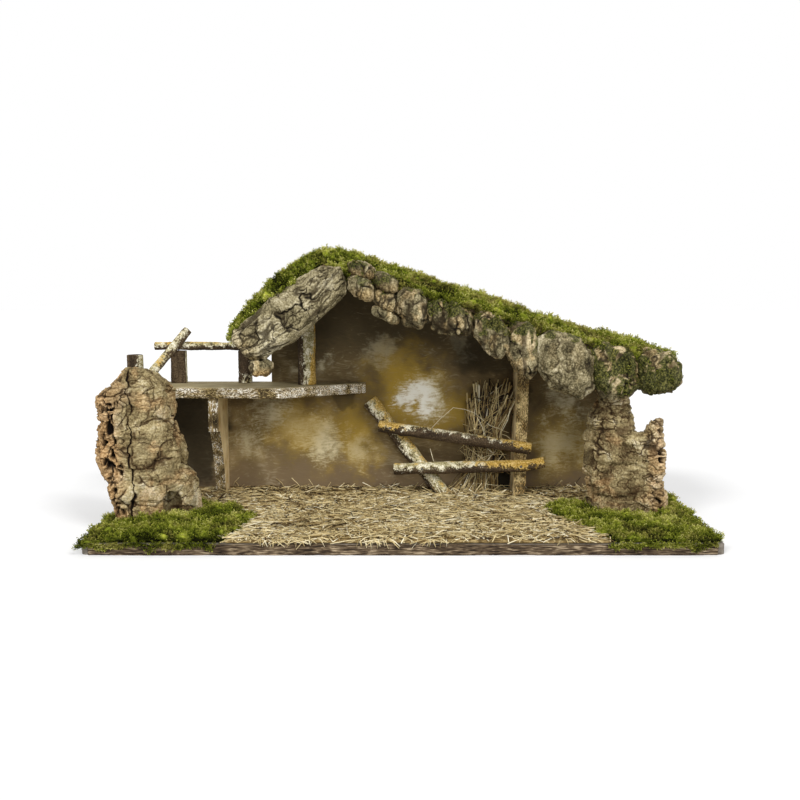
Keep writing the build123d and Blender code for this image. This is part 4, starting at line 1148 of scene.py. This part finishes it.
def branch(node, slot, crust, gold, lit, seed):
    """Branch with knots and uneven bark, its lichen given along it, and painted paler on the side that lit
    points to as painted light.
    """
    stick = Skin(node, 0.8, 1)
    points = stick.points
    middle = points.mean(axis=0)
    axis = np.linalg.svd(points - middle, full_matrices=False)[2][0]
    axis = axis * np.sign(axis @ (1, 0.1, 0.5))
    along = (points - middle) @ axis
    half = np.abs(along).max()
    around = points - middle - along[:, None] * axis
    grained = around / 5 + axis * (along / 26)[:, None]
    cut = ease(np.abs(stick.normals() @ axis), 0.75, 0.95) * ease(np.abs(along), half - 3.5, half - 1.5)
    knots = patches(points / 13, seed + 2, 0.45, 0.8)
    swell = 0.6 * (rough(grained, seed) + 0.8 * waves(points / 18, seed + 1)) + 0.78 * knots
    stick.push(swell * (1 - 0.8 * cut) + 0.35 * rough(points / 2.2, seed + 3) - 0.2)
    passed = (along / half + 1) / 2
    # Painted light: the lichen notes rise on the side that lit points to, so that side is painted paler and
    # more golden
    lit = stick.normals() @ lit
    stick.notes = {
        "tone": 0.5 + 0.5 * rough(grained, seed + 4),
        "cut": cut,
        "crust": np.interp(passed, np.linspace(0, 1, len(crust)), crust) + lit,
        "gold": np.interp(passed, np.linspace(0, 1, len(gold)), gold) + lit,
    }
    skin_piece(stick, node + "_bark", branch_bark, slot, node)


from_above = (0.1, 0.0, 0.26)
from_right = (0.55, 0.0, 0.05)
upper_crust, upper_gold = (-0.04, -0.16, -0.18, -0.16), (0.1, -0.26, -0.32, -0.22, 0.08)
lower_crust, lower_gold = (-0.02, 0.04, -0.16, -0.2), (-0.2, -0.3, -0.2, 0.06, 0.12)
# Slot of each branch, its pale and its golden lichen from end to end, and the side painted paler as painted
# light
branches = {
    "railing_post_flat": ("dark_branch", (-0.3,), (-0.8,), from_right),
    "railing_post_round": ("dark_branch", (0.1, -0.2, -0.25), (-0.2, -0.5), from_above),
    "leaning_stick": ("dark_branch", (0.0, 0.0, -0.12), (-0.18, -0.2, -0.3), from_above),
    "railing_rail": ("dark_branch", (-0.02, 0.02, -0.02), (-0.14, -0.2, -0.26), from_above),
    "pier_left_core": ("dark_branch", (-0.3,), (-0.8,), from_right),
    "pier_right_core": ("dark_branch", (-0.3,), (-0.8,), from_right),
    "birch_post": ("lichen_branch", (0.16, 0.18, 0.14), (-0.12, -0.5, -0.7), from_right),
    "leaning_log": ("lichen_branch", (0.12, 0.04, 0.1, 0.14), (0.0, -0.14, -0.2, -0.2), from_above),
    "manger_rail_upper": ("lichen_branch", upper_crust, upper_gold, from_above),
    "manger_rail_lower": ("lichen_branch", lower_crust, lower_gold, from_above),
}
for number, (node, (slot, crust, gold, lit)) in enumerate(branches.items()):
    branch(node, slot, crust, gold, lit, 301 + 10 * number)


# Boards and brads, which show their solids, and the bark strip


def dress(node, finish):
    """Gives a solid that is shown as it is its finish."""
    mesh = nodes[node].data
    mesh.materials.clear()
    mesh.materials.append(finish)


cream_paint = (206, 182, 122), (255, 252, 240)
gold_paint = (196, 156, 84), (232, 208, 150)
brad_steel = steel_finish()
roof_board = plain_wood_finish("roof_board", (70, 56, 40), (124, 104, 76))
dress("back_wall", wall_finish())
level_grain = (14, 1, 1)
upright_grain = (1, 1, 14)
dress("loft_floor", board_finish("loft_board", level_grain, 0.48, cream_paint, lit_side=0))
dress("loft_bracket", board_finish("bracket_board", upright_grain, 0.55, cream_paint, lit_side=1))
dress("stall_post", board_finish("post_board", upright_grain, 0.5, gold_paint, lit_side=-1))
dress("base_board", plain_wood_finish("base_wood", (88, 80, 70), (156, 148, 136)))
bark_strip = Skin("front_bark_strip", 1.0)
bark_strip.push(0.7 * rough(bark_strip.points / (26, 5, 3.2), 95) + 0.25 * rough(bark_strip.points / 2.2, 96))
skin_piece(bark_strip, "front_strip_bark", strip_finish(), "bark_strip", "front_bark_strip")
for node in ("roof_panel_left", "roof_panel_right"):
    dress(node, roof_board)
for node in ("wall_brads", "roof_brads", "railing_brads", "manger_brads"):
    dress(node, brad_steel)


# Floor, light and camera


def pale_floor():
    """Plain white floor that keeps the shadow."""
    floor = Finish("studio_floor", 0.9)
    tint = floor.speckle(400, 2.0)
    greys = ((0.3, (0.79, 0.79, 0.79, 1.0)), (0.7, (0.81, 0.81, 0.81, 1.0)))
    floor.shade = floor.add("ShaderNodeValToRGB", {"stops": greys}, {0: tint})
    floor.done()
    seen = floor.add("ShaderNodeLightPath", output="Is Camera Ray")
    glow = floor.mix(seen, (0, 0, 0, 1), (0.25, 0.25, 0.25, 1))
    floor.feed(floor.shader.inputs["Emission Color"], glow)
    floor.shader.inputs["Emission Strength"].default_value = 1.0
    mesh = bpy.data.meshes.new("studio_floor")
    half = 8.0
    floor_corners = [(-half, -half, 0), (half, -half, 0), (half, half, 0), (-half, half, 0)]
    mesh.from_pydata(floor_corners, [], [(0, 1, 2, 3)])
    mesh.materials.append(floor.material)
    stage = bpy.data.objects.new("studio_floor", mesh)
    bpy.context.scene.collection.objects.link(stage)


def soft_sun(name, turn, height, spread, power):
    """Soft even light from this turn and height in degrees."""
    lamp = bpy.data.lights.new(name, "SUN")
    lamp.angle = radians(spread)
    lamp.energy = power
    stand = bpy.data.objects.new(name, lamp)
    stand.rotation_euler = (radians(90 - height), 0, radians(turn))
    bpy.context.scene.collection.objects.link(stand)


def white_studio():
    """White background that the camera and mirrors see whole, and that gives less light than it shows."""
    world = bpy.data.worlds.new("studio")
    scene.world = world
    sky = Nodes(world)
    background = sky.tree.nodes["Background"]
    background.inputs["Color"].default_value = (1, 1, 1, 1)
    seen = sky.add("ShaderNodeLightPath", output="Is Camera Ray")
    mirrored = sky.add("ShaderNodeLightPath", output="Is Glossy Ray")
    sky.feed(background.inputs["Strength"], 0.4 + 0.6 * (seen + mirrored))


scene = bpy.context.scene
scene.view_settings.view_transform = "Standard"
white_studio()
pale_floor()
soft_sun("left_light", turn=-34, height=40, spread=18, power=1.45)
soft_sun("right_light", turn=36, height=36, spread=18, power=1.45)
soft_sun("front_light", turn=4, height=14, spread=12, power=0.55)

camera_data = bpy.data.cameras.new("camera")
camera_data.sensor_width = 36.0
camera_data.lens = 45.0
camera = bpy.data.objects.new("camera", camera_data)
camera.location = (-0.0028, -1.028, 0.2504)
pitch_down = 6.65
camera.rotation_euler = (radians(90 - pitch_down), 0, 0)
scene.collection.objects.link(camera)
scene.camera = camera
